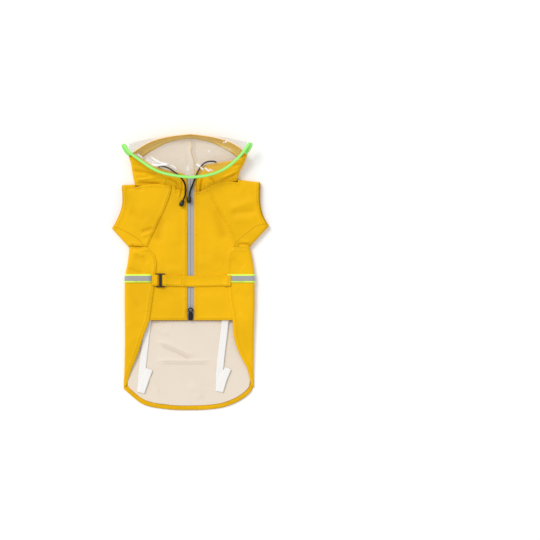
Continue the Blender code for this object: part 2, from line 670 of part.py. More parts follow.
def build_shoulder_band(name, side, look, collection):
    rows = []
    for y in SHOULDER_BAND:
        inner = side.sign * (RAGLAN_HALF(y) + 2)
        outer = side.cuff[0][0] + side.sign * (CUFF_PEEK - 2)
        rows.append([(inner, y, THIN / 2), (outer, y, THIN / 2)])
    return loft(name, rows, THIN, look, collection)


def moved(surface, distance, at=(0.2, 0.5)):
    """Return a surface moved along its normal, up from the floor where it lies flat."""
    step = 1e-3

    def normal(u, v):
        u, v = min(max(u, step), 1 - step), min(max(v, step), 1 - step)
        along = surface(u + step, v) - surface(u - step, v)
        across = surface(u, v + step) - surface(u, v - step)
        return along.cross(across).normalized()

    side = 1 if normal(*at).z > 0 else -1
    return lambda u, v: surface(u, v) + normal(u, v) * distance * side


BRIM_RUN_AT, BRIM_HEIGHT_AT, EDGE_HEIGHT_AT = smooth(BRIM_RUN), smooth(BRIM_HEIGHT), smooth(EDGE_HEIGHT)


def hood_back(hood):
    """The half of the hood that lies on the floor: u from neck to brim, v from the middle to the fold."""

    def neck(share):
        x = mix(hood.sign * SEAM, hood.fold[0][0], share)
        return Vector((x, back_neck(x) + SEAM))

    plan = patch(
        line(neck(0), hood.brim[0]), path([neck(1), *hood.fold[1:-1], hood.brim[-1]]),
        neck, path(hood.brim),
    )

    def point(u, v):
        place = plan(u, v)
        length = (plan(1, v) - plan(0, v)).length
        run = BRIM_RUN_AT(v)
        past = min(max(1 - (1 - u) * length / run, 0.0), 1.0)
        rise = 1 - math.sqrt(max(1 - past * past, 0.0))
        return Vector((place.x, place.y, FLOOR_LAYER + BRIM_HEIGHT_AT(v) * rise))

    def row(angle, v):
        """The share u where the cloth has turned up by an angle towards the brim."""
        length = (plan(1, v) - plan(0, v)).length
        return 1 - BRIM_RUN_AT(v) * (1 - math.sin(math.radians(angle))) / length

    return point, row


def hood_rows(hood, angles=BRIM_ANGLES, first=0.0):
    """For each row of the hood, a function that gives its share u at v."""
    _, row = hood_back(hood)
    shares = (first, *HOOD_ROWS[1:])
    flat = [lambda v, share=share: share * row(0, v) for share in shares]
    return flat + [lambda v, angle=angle: row(angle, v) for angle in angles]


def hood_front(hood):
    """The half of the hood over the throat: u from neck to face opening, v from fold to throat."""
    foot = hood.fold[0]
    low = NECK(hood.throat_x) + SEAM
    xs = [mix(foot[0], hood.throat_x, share) for share in steps(14)]
    neck = path([(x, NECK(x) + SEAM) for x in xs])
    plan = patch(
        path([*hood.fold[:-1], hood.lower_edge[0]]), line((hood.throat_x, low), hood.lower_edge[-1]),
        neck, path(hood.lower_edge),
    )

    def point(u, v):
        place = plan(u, v)
        beside = ease((abs(place.x) - 26) / 14)
        base = belly(place.x) + OUTER / 2 + beside * (TOP_LAYER - BELLY_SIDE - OUTER / 2)
        height = mix(base, EDGE_HEIGHT_AT(v), ease(u))
        near, far = GATHER_SPAN
        share = (abs(place.x - ZIP_MIDDLE) - near) / (far - near)
        if 0 < share < 1:
            swell = math.sin(math.pi * share) * (1 - u)
            height += GATHER_DEPTH * swell * (1 - math.cos(2 * math.pi * GATHERS * share)) / 2
        return Vector((place.x, place.y, height))

    return point


HOOD_FRONT_COLUMNS = (0, 0.1, 0.22, 0.36, 0.5, 0.58, 0.63, 0.67, 0.71, 0.75, 0.79, 0.83, 0.87, 0.91, 0.95, 1)


def build_hood(name, hood, look, collection):
    back, _ = hood_back(hood)
    front = hood_front(hood)
    rows = []
    for share_at in hood_rows(hood):
        floor = [back(share_at(v), v) for v in HOOD_COLUMNS]
        u = share_at(1)
        over = [front(u, v) for v in HOOD_FRONT_COLUMNS]
        reach = mix(FOLD_REACH, TEMPLE_REACH, u)
        rows.append(floor + arc(floor[-1], over[0], (hood.sign, 0, 0), reach) + over)
    return loft(name, rows, OUTER, look, collection)


def across_hood(angles, first, low, distance, reach):
    """Rows right across the inside of the hood, from one fold over the middle to the other."""
    halves = []
    for label, order in (("left", -1), ("right", 1)):
        hood = HOODS[label]
        inside = moved(hood_back(hood)[0], distance)
        columns = [v * reach for v in HOOD_COLUMNS[::order]]
        halves.append([[inside(share_at(v), v) for v in columns]
                       for share_at in hood_rows(hood, angles, first)[low:]])
    return [left + right[1:] for left, right in zip(*halves)]


def build_hood_inside(lining, facing, collection):
    inner = OUTER / 2 + 2 * GAP + THIN / 2
    turns = [angle for angle in BRIM_ANGLES if angle < FACING_ANGLE]
    rows = across_hood([*turns, FACING_ANGLE - 2], 0.02, 0, inner, 0.98)
    loft("hood_lining", rows, THIN, lining, collection)
    turns = [angle for angle in BRIM_ANGLES if FACING_ANGLE <= angle < 90]
    rows = across_hood([*turns, 84], 0.0, len(HOOD_ROWS), inner, 0.97)
    loft("hood_facing", rows, THIN, facing, collection)


def visor_point():
    """The clear visor: s from left temple to right temple, t over its section."""
    fold, edge = path(VISOR_FOLD), path(VISOR_EDGE)
    left, _ = hood_back(HOODS["left"])
    right, _ = hood_back(HOODS["right"])

    def rim(s):
        v = abs(2 * s - 1)
        return (left if s < 0.5 else right)(1, v) + Vector((0, 0, GAP + 0.1))

    def column(s):
        start, turn, end = rim(s), fold(s), edge(s)
        points = [start, start.lerp(turn, 0.5) + Vector((0, 0, -0.6)), turn]
        for bend in VISOR_BENDS:
            place = turn.lerp(end, bend.inward)
            height = mix(turn.z, end.z, bend.rise if bend.inward < 1 else 1)
            points.append(Vector((place.x, place.y, height)))
        return points

    return column


def build_visor(clear, lime, collection):
    column = visor_point()
    rows = [column(s) for s in steps(VISOR_COLUMNS)]
    loft("visor", rows, THIN, clear, collection)
    tube("visor_binding", BINDING, BINDING_RADIUS, 90, lime, collection)


def tube(name, points, radius, count, look, collection, cyclic=False):
    """A round cord along a smooth curve through points, with filled ends."""
    route = path(points)
    curve = bpy.data.curves.new(name, "CURVE")
    curve.dimensions = "3D"
    spline = curve.splines.new("POLY")
    shares = steps(count)[:-1] if cyclic else steps(count)
    spline.points.add(len(shares) - 1)
    for place, share in zip(spline.points, shares):
        place.co = (*(route(share) * MM), 1)
    spline.use_cyclic_u = cyclic
    curve.bevel_depth = radius * MM
    curve.bevel_resolution = 2
    curve.use_fill_caps = True
    spline.use_smooth = True
    return add(name, curve, look, collection)


def build_drawcord(label, look, hard, collection):
    points = CORDS[label]
    tube("drawcord_" + label, points, CORD_RADIUS, 34, look, collection)
    end, before = Vector(points[-1]), Vector(points[-2])
    direction = (end - before)
    direction.z = 0
    direction.normalize()
    mesh = bmesh.new()
    profile = [(0.0, CORD_END_PROFILE[0][1]), *CORD_END_PROFILE, (0.0, CORD_END_PROFILE[-1][1])]
    verts = [mesh.verts.new((radius * MM, 0, along * MM)) for radius, along in profile]
    edges = [mesh.edges.new(pair) for pair in zip(verts, verts[1:])]
    bmesh.ops.spin(mesh, geom=[*verts, *edges], cent=(0, 0, 0), axis=(0, 0, 1), steps=12,
                   angle=2 * math.pi, use_merge=True)
    bmesh.ops.remove_doubles(mesh, verts=mesh.verts, dist=0.01 * MM)
    bmesh.ops.recalc_face_normals(mesh, faces=mesh.faces)
    data = bpy.data.meshes.new("cord_end_" + label)
    mesh.to_mesh(data)
    mesh.free()
    data.shade_smooth()
    thing = add("cord_end_" + label, data, hard, collection)
    thing.rotation_mode = "QUATERNION"
    thing.rotation_quaternion = direction.to_track_quat("Z", "Y")
    thing.location = (end + direction * (GAP + 0.1)) * MM
    return thing


def strip(name, profile, half, middle_y, look, collection, wall=THIN):
    """A strap that runs along X: its profile in x and z, and the y of its middle by x."""
    rows = [[(x, middle_y(x) - half, z), (x, middle_y(x) + half, z)] for x, z in profile]
    return loft(name, rows, wall, look, collection)


def over(x, layers=1):
    """Height of the middle of a thin layer on the fronts."""
    return belly(x) + OUTER + GAP * layers + THIN * (layers - 0.5) + 0.1


def build_belt(cloth, black, collection, cutters):
    middle_y = smooth(BELT_Y)
    low, high = over(-60), OVER_BUCKLE
    turn = CENTRE_BAR_X - CENTRE_BAR_WIDTH / 2 + 0.4
    right = EDGE_RIGHT(-4) - 2 * GAP
    profile = [(x, over(x)) for x in (right, 66, 58, 50, 40, 30, 20, 10, 0, -9)]
    profile += [(x, over(x, 2)) for x in (BELT_TAIL_END, -24, -34, -44)]
    profile += [(-48.4, high - 0.4), (-50.2, high), (turn, high)]
    centre = (low + high) / 2
    profile += [(turn - (high - centre) * math.sin(math.pi * k / 6),
                 centre + (high - centre) * math.cos(math.pi * k / 6)) for k in range(1, 6)]
    profile += [(turn, low)]
    profile += [(x, over(x)) for x in (-50, -40, -30, -22, BELT_TAIL_END - 1)]
    strip("belt_strap", profile, BELT_HALF, middle_y, cloth, collection)

    flap_top = TOP_LAYER + OUTER / 2 + GAP + THIN / 2
    bar_end = BUCKLE_X[0] + BUCKLE_BAR - 0.2
    profile = [(TAB_START, flap_top), (-71, flap_top + 0.1), (-69.6, high - 0.3), (-68.4, high), (bar_end, high)]
    profile += [(bar_end + (high - centre) * math.sin(math.pi * k / 6),
                 centre + (high - centre) * math.cos(math.pi * k / 6)) for k in range(1, 6)]
    profile += [(bar_end, low), (-68.0, low)]
    strip("belt_tab", profile, BELT_HALF, middle_y, cloth, collection)

    centre_x = sum(BUCKLE_X) / 2
    size = (BUCKLE_X[1] - BUCKLE_X[0], BUCKLE_LENGTH, BUCKLE_PLATE)
    place = (centre_x, BUCKLE_Y, BUCKLE_LOW + BUCKLE_PLATE / 2)
    buckle = block("belt_buckle", place, size, black, collection, 0.4)
    hole = block("buckle_window", place, (size[0] - 2 * BUCKLE_BAR, size[1] - 2 * BUCKLE_BAR, 9),
                 black, cutters)
    top = high + THIN / 2 + GAP + CENTRE_BAR_WALL / 2
    reach = BUCKLE_LENGTH / 2 - CENTRE_BAR_WALL / 2 - 0.2
    side = CENTRE_BAR_WIDTH / 2
    rise = ((-reach, BUCKLE_LOW + 0.5), (-reach, top - 0.8), (-reach + 0.8, top), (reach - 0.8, top),
            (reach, top - 0.8), (reach, BUCKLE_LOW + 0.5))
    rows = [[(CENTRE_BAR_X - side, BUCKLE_Y + y, z), (CENTRE_BAR_X + side, BUCKLE_Y + y, z)]
            for y, z in rise]
    bar = loft("buckle_bar", rows, CENTRE_BAR_WALL, black, cutters)
    combine(buckle, hole, "DIFFERENCE")
    combine(buckle, bar, "UNION")


def block(name, centre, size, look, collection, bevel=0.0):
    mesh = bmesh.new()
    bmesh.ops.create_cube(mesh, size=1)
    bmesh.ops.scale(mesh, vec=Vector(size) * MM, verts=mesh.verts)
    bmesh.ops.translate(mesh, vec=Vector(centre) * MM, verts=mesh.verts)
    if bevel:
        bmesh.ops.bevel(mesh, geom=mesh.edges[:], offset=bevel * MM, segments=1, affect="EDGES",
                        profile=0.5, material=-1)
    data = bpy.data.meshes.new(name)
    mesh.to_mesh(data)
    mesh.free()
    return add(name, data, look, collection)


def combine(thing, other, operation):
    """Cut another object out of this one, or join it on, and keep the other out of the model."""
    other.hide_render = True
    other.display_type = "WIRE"
    join = thing.modifiers.new(other.name, "BOOLEAN")
    join.operation = operation
    join.object = other


def build_leg_strap(name, runs, look, collection):
    """White elastic: down from the belly hem, folded at the bottom and back up as a short arm."""
    down, up = (path(points) for points in runs)
    rows = []

    def cross(route, share, forward):
        ahead, behind = route(min(share + 0.01, 1)), route(max(share - 0.01, 0))
        along = (ahead - behind).normalized() * forward
        sideways = Vector((along.y, -along.x, 0)).normalized() * STRAP_HALF
        point = route(share)
        return [point - sideways, point + sideways]

    for share in steps(12):
        rows.append(cross(down, share, 1))
    low, high = rows[-1], cross(up, 0, -1)
    for k in (1, 2, 3):
        turn = math.pi * k / 4
        rows.append([a.lerp(b, (1 - math.cos(turn)) / 2) + Vector((0, -STRAP_FOLD * math.sin(turn), 0))
                     for a, b in zip(low, high)])
    for share in steps(5):
        rows.append(cross(up, share, -1))
    return loft(name, rows, THIN, look, collection)


def build_slider(look, collection, cutters):
    middle = (SLIDER.low + SLIDER.high) / 2
    size = (2 * SLIDER.half, SLIDER.high - SLIDER.low, SLIDER_TOP - SLIDER_BOTTOM)
    slider = block("zip_slider", (ZIP_MIDDLE, middle, (SLIDER_TOP + SLIDER_BOTTOM) / 2), size, look,
                   collection, 0.8)
    side, half = BRIDGE_WIDTH / 2, BRIDGE_HALF
    top = PULL_AXIS_Z + PULL_RADIUS + GAP + 0.2 + BRIDGE_WALL / 2
    rise = ((-half, SLIDER_TOP - 1.5), (-half, top - 1.4), (-half + 1.2, top), (half - 1.2, top),
            (half, top - 1.4), (half, SLIDER_TOP - 1.5))
    rows = [[(ZIP_MIDDLE - side, PULL_AXIS_Y + y, z), (ZIP_MIDDLE + side, PULL_AXIS_Y + y, z)]
            for y, z in rise]
    combine(slider, loft("slider_bridge", rows, BRIDGE_WALL, look, cutters), "UNION")


def build_pull(look, collection):
    half = [Vector((x, y)) for x, y in PULL_SHAPE]
    loop = half + [Vector((-p.x, p.y)) for p in half[-2::-1]]
    pull = tube("zip_pull", [(p.x, p.y, 0) for p in loop], PULL_RADIUS, 32, look, collection, cyclic=True)
    pull.location = Vector((ZIP_MIDDLE, PULL_AXIS_Y, PULL_AXIS_Z)) * MM


def build_slit(back, collection):
    hole = block("lead_slit", (SLIT.x, SLIT.y, 0), (SLIT.width, SLIT.length, 12),
                 back.data.materials[0], collection)
    combine(back, hole, "DIFFERENCE")


def main():
    for thing in list(bpy.data.objects):
        bpy.data.objects.remove(thing)
    parts = bpy.data.collections.new("dog_raincoat")
    bpy.context.scene.collection.children.link(parts)
    cutters = bpy.data.collections.new("cutters")
    bpy.context.scene.collection.children.link(cutters)
    yellow = material("yellow coated cloth", (0.91, 0.48, 0.012), 0.45)
    mesh_cloth = material("beige mesh", (0.80, 0.70, 0.58), 0.85)
    tape = material("reflective tape", (0.55, 0.85, 0.05), 0.35)
    grey = material("grey tape", (0.32, 0.33, 0.35), 0.4)
    clear = material("clear sheet", (0.92, 0.93, 0.92), 0.12, alpha=0.3)
    lime = material("lime edging", (0.2, 0.85, 0.12), 0.5)
    black = material("black plastic", (0.02, 0.02, 0.022), 0.4)
    cord = material("black cord", (0.02, 0.02, 0.02), 0.8)
    white = material("white elastic", (0.85, 0.84, 0.80), 0.85)
    metal = material("dark metal", (0.03, 0.03, 0.033), 0.35, metallic=0.8)

    build_skirt(yellow, parts)
    build_tail(yellow, parts)
    build_lining(mesh_cloth, parts)
    build_slit(build_back(yellow, parts), cutters)
    build_pocket(yellow, parts)
    build_waist_band(tape, parts)
    build_zip_tapes(grey, parts)
    for label, sign in (("left", -1), ("right", 1)):
        build_side_panel("side_panel_" + label, sign, yellow, parts)
        build_front("front_" + label, sign, yellow, parts)
        build_sleeve("sleeve_" + label, SLEEVES[label], yellow, parts)
        build_shoulder_band("shoulder_band_" + label, SLEEVES[label], tape, parts)
        build_hood("hood_" + label, HOODS[label], yellow, parts)
        build_drawcord(label, cord, black, parts)
        build_leg_strap("leg_strap_" + label, STRAPS[label], white, parts)
    build_hood_inside(mesh_cloth, yellow, parts)
    build_visor(clear, lime, parts)
    build_belt(yellow, black, parts, cutters)
    build_slider(metal, parts, cutters)
    build_pull(metal, parts)


main()
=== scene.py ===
"""A dog's hooded raincoat, laid flat with its belly side up, dressed for display.

Run as a script in Blender 4.5. Tables are in millimetres: X to the right as the coat lies, Y towards
the hood, Z up from the floor.
"""

import math
from collections import namedtuple

import bmesh
import bpy
import numpy as np
from bpy.props import FloatProperty, FloatVectorProperty, IntProperty, PointerProperty
from mathutils import Matrix, Vector
from mathutils.kdtree import KDTree


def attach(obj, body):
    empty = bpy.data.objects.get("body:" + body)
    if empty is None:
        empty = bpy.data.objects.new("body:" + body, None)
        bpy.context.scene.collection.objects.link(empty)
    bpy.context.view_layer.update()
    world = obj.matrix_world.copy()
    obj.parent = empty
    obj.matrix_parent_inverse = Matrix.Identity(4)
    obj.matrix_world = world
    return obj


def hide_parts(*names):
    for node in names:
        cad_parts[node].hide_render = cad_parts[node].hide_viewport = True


bl_info = {
    "name": "Dog raincoat",
    "version": (1, 0, 0),
    "blender": (4, 5, 0),
    "location": "3D View > Sidebar > Raincoat",
    "description": "Builds a dog's hooded raincoat piece by piece",
    "category": "Object",
}

MM = 0.001
TURN = 2 * math.pi
MERGE = 0.00001  # points that lie closer than this become one
HEM_ANGLE = math.radians(55)  # faces of a solid that meet more sharply than this meet in a hem
SHARP_ANGLE = math.radians(50)  # and on the finer cloth that is made from it
BODY = "coat"
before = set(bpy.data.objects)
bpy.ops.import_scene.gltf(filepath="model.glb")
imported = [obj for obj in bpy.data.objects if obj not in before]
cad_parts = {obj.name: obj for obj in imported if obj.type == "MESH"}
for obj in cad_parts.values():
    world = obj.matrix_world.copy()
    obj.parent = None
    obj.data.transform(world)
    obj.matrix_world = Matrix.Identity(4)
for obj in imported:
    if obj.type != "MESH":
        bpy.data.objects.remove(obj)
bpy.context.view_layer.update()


def smooth(points):
    """Return a curve value(key) through (key, value) points that never swings past them."""
    keys = np.array([key for key, _ in points], float)
    values = np.array([value for _, value in points], float)
    steps = np.diff(keys)
    slopes = np.diff(values) / steps
    inner = [0 if a * b <= 0 else 2 * a * b / (a + b) for a, b in zip(slopes, slopes[1:])]
    tangents = np.array([slopes[0], *inner, slopes[-1]])

    def value(key):
        key = np.clip(key, keys[0], keys[-1])
        i = np.clip(np.searchsorted(keys, key, side="right") - 1, 0, len(steps) - 1)
        t = (key - keys[i]) / steps[i]
        low = (1 + 2 * t) * (1 - t) ** 2 * values[i] + t * (1 - t) ** 2 * steps[i] * tangents[i]
        high = t * t * (3 - 2 * t) * values[i + 1] + t * t * (t - 1) * steps[i] * tangents[i + 1]
        return low + high

    return value


def path(points):
    """Return point(share) on a smooth curve through points, share running 0 to 1 along it."""
    points = np.array(points, float)
    along = lengths_along(points)
    axes = [smooth(list(zip(along, column))) for column in points.T]
    return lambda share: np.stack([axis(np.asarray(share) * along[-1]) for axis in axes], axis=-1)


def ease(share):
    share = np.clip(share, 0.0, 1.0)
    return share * share * (3 - 2 * share)


class Socket:
    """A value in a material's node tree. Sums on it add Math nodes."""

    def __init__(self, finish, output):
        self.finish = finish
        self.output = output

    def math(self, operation, *values):
        return self.finish.node("Math", {"operation": operation}, dict(enumerate(values)))

    def __add__(self, other):
        return self.math("ADD", self, other)

    __radd__ = __add__

    def __sub__(self, other):
        return self.math("SUBTRACT", self, other)

    def __rsub__(self, other):
        return self.math("SUBTRACT", other, self)

    def __mul__(self, other):
        return self.math("MULTIPLY", self, other)

    __rmul__ = __mul__

    def absolute(self):
        return self.math("ABSOLUTE", self)

    def wave(self):
        """A wave between 0 and 1."""
        return self.math("SINE", self) * 0.5 + 0.5

    def step(self, low, high):
        """0 below low, 1 above high and smooth between them. A low above high turns it round."""
        if low > high:
            return 1 - self.step(high, low)
        sizes = {"Value": self, "From Min": low, "From Max": high}
        return self.finish.node("MapRange", {"interpolation_type": "SMOOTHSTEP"}, sizes)

    def near(self, place, width):
        """1 at a place, falling to 0 at a width away from it."""
        return (self - place).absolute().step(width, 0)


class Finish:
    """A material being made: one Principled shader, and one way to add any other node."""

    def __init__(self, name, **values):
        self.material = bpy.data.materials.new(name)
        self.material.use_nodes = True
        self.tree = self.material.node_tree
        self.shader = self.tree.nodes["Principled BSDF"]
        for key, value in values.items():
            self.set(key.replace("_", " ").title().replace("Ior", "IOR"), value)

    def set(self, name, value):
        socket = self.shader.inputs[name]
        if isinstance(value, Socket):
            self.tree.links.new(value.output, socket)
        elif socket.type == "RGBA":
            socket.default_value = (*value[:3], 1)
        else:
            socket.default_value = value

    def node(self, kind, settings=(), values=(), output=0):
        """Add a node of a kind: its settings first, then the values or links of its sockets."""
        made = self.tree.nodes.new("ShaderNode" + kind)
        for key, value in dict(settings).items():
            setattr(made, key, value)
        for key, value in dict(values).items():
            if isinstance(value, Socket):
                self.tree.links.new(value.output, made.inputs[key])
            elif made.inputs[key].type == "RGBA":
                made.inputs[key].default_value = (*value[:3], 1)
            else:
                made.inputs[key].default_value = value
        return Socket(self, made.outputs[output])

    def place(self):
        return self.node("TexCoord", output="Object")

    def axes(self):
        place = self.place()
        return [self.node("SeparateXYZ", (), {0: place}, axis) for axis in "XYZ"]

    def measure(self, name):
        """A number kept on the piece's points."""
        return self.node("Attribute", {"attribute_name": name}, output="Fac")

    def noise(self, size, detail=2.0, roughness=0.5, stretch=(1, 1, 1)):
        """Noise with patches of about a size in metres."""
        place = self.node("Mapping", (), {"Vector": self.place(), "Scale": stretch})
        return self.node("TexNoise", (), {"Vector": place, "Scale": 1 / size, "Detail": detail,
                                          "Roughness": roughness})

    def blend(self, share, first, second):
        return self.node("Mix", {"data_type": "RGBA"}, {0: share, 6: first, 7: second}, 2)

    def mottle(self, share, colour, low, high):
        """A colour between two brightnesses, as shares of its own."""
        return self.blend(share, shade(colour, low), shade(colour, high))

    def bump(self, height, distance, strength=1.0, below=None):
        """Raise the surface by a height of 0 to 1 times a distance in metres."""
        values = {"Strength": strength, "Distance": distance, "Height": height}
        if below:
            values["Normal"] = below
        return self.node("Bump", (), values)


# Materials

def shade(colour, factor):
    """A colour made darker or lighter."""
    return tuple(min(c * factor, 1.0) for c in colour)


def coated_cloth(name, colours, sizes):
    """Smooth coated cloth with stitched hems: painted shade in hollows, stitch rows, hems and seams, a
    painted highlight on ridges.
    """
    finish = Finish(name, roughness=0.5, specular_ior_level=0.12)
    yellow, painted_shadow = colours.cloth, colours.shadow
    broad = finish.noise(0.07, 3, 0.55)
    fine = finish.noise(0.004, 2, 0.6)
    weave = finish.noise(0.0009, 1, 0.5)
    fold, row = finish.measure("fold"), finish.measure("row")
    # painted shade in the folds' hollows and a painted highlight on their ridges, from the kept fold
    # heights
    hollow_painted_shade = fold.step(-0.0002, -0.0034)
    ridge_painted_highlight = fold.step(0.0004, 0.0024)
    edge = finish.measure("rim").step(0.0011, 0.0)
    seam = finish.measure("seam").near(0, 0.0011)
    groove = row.near(0, 0.0006)
    stitch_dash_painted_shade = groove * finish.noise(sizes.stitch_length / 2, 0).step(0.42, 0.58)
    puckers = finish.noise(0.006, 1, 0.4) * row.near(0, 0.006)
    colour = finish.mottle(broad.step(0.3, 0.7), yellow, 0.94, 1.04)
    colour = finish.blend(hollow_painted_shade * 0.36, colour, painted_shadow)
    colour = finish.blend(ridge_painted_highlight * 0.4, colour, colours.light)
    # painted shade in the stitch rows' grooves, darker in dashes at the needle holes
    colour = finish.blend(groove * 0.10 + stitch_dash_painted_shade * 0.14, colour, shade(painted_shadow, 0.9))
    # painted shade along the hems and the seams
    colour = finish.blend(edge * 0.2 + seam * 0.45, colour, shade(painted_shadow, 0.8))
    finish.set("Base Color", colour)
    finish.set("Roughness", 0.44 + fine * 0.16)
    relief = finish.bump(weave, 0.00006)
    relief = finish.bump(broad, 0.0010, below=relief)
    relief = finish.bump(puckers, 0.0012, below=relief)
    relief = finish.bump(1 - groove - seam, 0.0004, below=relief)
    finish.set("Normal", relief)
    return finish.material


def streaked_facing(colours):
    """Smooth golden binding inside the hood's brim, in turned layers along its length, with painted shade
    along its edges.
    """
    finish = Finish("golden_facing", roughness=0.5, specular_ior_level=0.15)
    rim = finish.measure("rim")
    edge = rim.step(0.0016, 0.0004)
    layers = (rim * (TURN / 0.0052) + finish.noise(0.03, 2, 0.5) * 5).wave()
    colour = finish.mottle(layers.step(0.25, 0.8), colours.facing, 0.90, 1.10)
    # painted shade along the facing's edges
    colour = finish.blend(edge * 0.35, colour, colours.shadow)
    finish.set("Base Color", colour)
    finish.set("Normal", finish.bump(layers, 0.0004))
    return finish.material


def ribbed_mesh(colours):
    """Thin knitted mesh with fine slanting ribs, painted shade in its creases and a darker golden line
    along its seam.
    """
    finish = Finish("knitted_mesh", roughness=0.85, specular_ior_level=0.2, sheen_weight=0.1,
                    sheen_roughness=0.5)
    x, y, _ = finish.axes()
    wander = finish.noise(0.05, 2) * 6
    ribs = ((x * 0.62 - y * 0.78) * (TURN / 0.0044) + wander).wave()
    holes = finish.node("TexVoronoi", (), {"Vector": finish.place(), "Scale": 520.0})
    knit = ribs * 0.5 + holes.step(0.5, 0.1) * 0.2
    broad = finish.noise(0.06, 3)
    hollow_painted_shade = finish.measure("fold").step(-0.0001, -0.0020)
    seam = finish.measure("seam").near(0, 0.0016)
    colour = finish.mottle(knit, colours.lining, 0.95, 1.05)
    colour = finish.blend(broad.step(0.4, 0.7) * 0.3, colour, shade(colours.lining, 0.92))
    # painted shade in the creases, whose hollows don't sink
    colour = finish.blend(hollow_painted_shade * 0.6, colour, colours.crease_painted_light)
    colour = finish.blend(seam * 0.7, colour, shade(colours.facing, 0.8))
    finish.set("Base Color", colour)
    relief = finish.bump(ribs, 0.0003, 0.5)
    finish.set("Normal", finish.bump(holes, 0.0003, 0.4, relief))
    return finish.material


def clear_sheet(colours):
    """Clear plastic with painted white glints along its creases."""
    finish = Finish("clear_sheet", roughness=0.06, coat_weight=1.0, coat_roughness=0.02, IOR=1.5)
    crease_painted_light, outside = finish.measure("crease_painted_light"), finish.measure("outside")
    veil = finish.noise(0.05, 3, 0.6, (1, 1.6, 1))
    tint = finish.blend(outside, shade(colours.veil, 2.4), colours.veil)
    # painted glints: the sheet turns white and nearly opaque along its creases
    finish.set("Base Color", finish.blend(crease_painted_light.step(0.05, 0.7), tint, (1.0, 1.0, 1.0)))
    finish.set("Alpha", 0.022 + veil * 0.02 + outside * 0.046 + crease_painted_light * 0.88)
    ripple = finish.noise(0.03, 2, 0.4, (1, 2.5, 1))
    finish.set("Normal", finish.bump(ripple, 0.003, 0.5))
    return finish.material


def woven_edging(colours):
    """Binding tape with fine slanting ribs, a painted highlight along its middle and painted shade on its
    turned edges.
    """
    finish = Finish("lime_edging", roughness=0.5, sheen_weight=0.1, coat_weight=0.15, coat_roughness=0.3)
    run, side = finish.measure("run"), finish.measure("side")
    ribs = (run * (TURN / 0.0020) + side * 2.4).wave()
    broad = finish.noise(0.02, 2)
    middle, edge = side.near(0.1, 0.7), side.absolute().step(0.75, 1.0)
    colour = finish.mottle(ribs * 0.2 + broad * 0.3, colours.edging, 1.06, 0.9)
    # painted highlight along the middle and painted shade on the turned edges
    colour = finish.blend(middle * 0.6, colour, colours.glare)
    colour = finish.blend(edge * 0.4, colour, shade(colours.edging, 0.6))
    finish.set("Base Color", colour)
    finish.set("Normal", finish.bump(ribs, 0.0002, 0.35))
    return finish.material


def reflective_tape(name, colours, middle):
    """Grey reflective tape between two bright edges, along X at a Y in metres."""
    finish = Finish(name, roughness=0.4, coat_weight=0.15, coat_roughness=0.2)
    _, y, _ = finish.axes()
    across = (y - middle).absolute()
    edge = across.step(0.0047, 0.0053)
    line = across.near(0.0050, 0.0007)
    cells = finish.node("TexVoronoi", {"feature": "DISTANCE_TO_EDGE"},
                        {"Vector": finish.place(), "Scale": 900.0})
    beads = finish.noise(0.012, 2) * 0.6 + cells.step(0.0, 0.2) * 0.3
    grey = finish.mottle(beads, colours.tape, 0.85, 1.12)
    colour = finish.blend(edge, grey, colours.bright)
    finish.set("Base Color", finish.blend(line * 0.35, colour, shade(colours.tape, 0.6)))
    finish.set("Metallic", (1 - edge) * 0.25)
    finish.set("Normal", finish.bump(across.step(0.0054, 0.0048), 0.0003))
    return finish.material


def zip_cloth(colours, middle):
    """Smooth grey zip tape whose halves meet over the teeth."""
    finish = Finish("zip_tape", roughness=0.45, coat_weight=0.1)
    x, y, _ = finish.axes()
    off = (x - middle).absolute()
    gap, line = off.step(0.0009, 0.0003), off.near(0.0046, 0.0006)
    weave = (y * (TURN / 0.0014)).wave()
    grain = weave * 0.3 + finish.noise(0.01) * 0.4
    colour = finish.mottle(grain, colours.tape, 0.92, 1.08)
    colour = finish.blend(gap * 0.2, colour, shade(colours.tape, 0.4))
    finish.set("Base Color", finish.blend(line * 0.25, colour, shade(colours.tape, 0.6)))
    relief = finish.bump(1 - gap, 0.0003)
    finish.set("Normal", finish.bump(weave, 0.0001, 0.5, relief))
    return finish.material


def elastic_webbing(colours):
    """White elastic with ribs along it."""
    finish = Finish("white_elastic", roughness=0.8, sheen_weight=0.15)
    ribs = (finish.measure("rim") * (TURN / 0.0014)).wave()
    picks = finish.noise(0.0011, 1)
    finish.set("Base Color", finish.mottle(ribs * 0.5 + picks * 0.5, colours.elastic, 0.95, 1.04))
    finish.set("Normal", finish.bump(ribs * 0.6 + picks * 0.4, 0.0002, 0.6))
    return finish.material


def braided_cord(colours):
    """Fine black braid."""
    finish = Finish("black_cord", roughness=0.75, specular_ior_level=0.25)
    cells = finish.node("TexVoronoi", (), {"Vector": finish.place(), "Scale": 900.0})
    finish.set("Base Color", finish.blend(cells.step(0.2, 0.7), colours.black, shade(colours.black, 0.4)))
    finish.set("Normal", finish.bump(cells, 0.0005))
    return finish.material


def moulded_plastic(colours):
    """Black plastic with a fine grain."""
    finish = Finish("black_plastic", roughness=0.38, specular_ior_level=0.35)
    grain = finish.noise(0.0012, 2)
    finish.set("Base Color", finish.blend(grain * 0.5, colours.black, shade(colours.black, 1.6)))
    finish.set("Roughness", 0.3 + grain * 0.2)
    finish.set("Normal", finish.bump(grain, 0.00008))
    return finish.material


def dark_plating(colours):
    """Dark plated metal."""
    finish = Finish("dark_metal", metallic=0.8, roughness=0.3)
    grain = finish.noise(0.003, 3, 0.6)
    finish.set("Base Color", finish.mottle(grain, colours.black, 1.6, 3.4))
    finish.set("Roughness", 0.24 + grain * 0.2)
    return finish.material


# Geometry

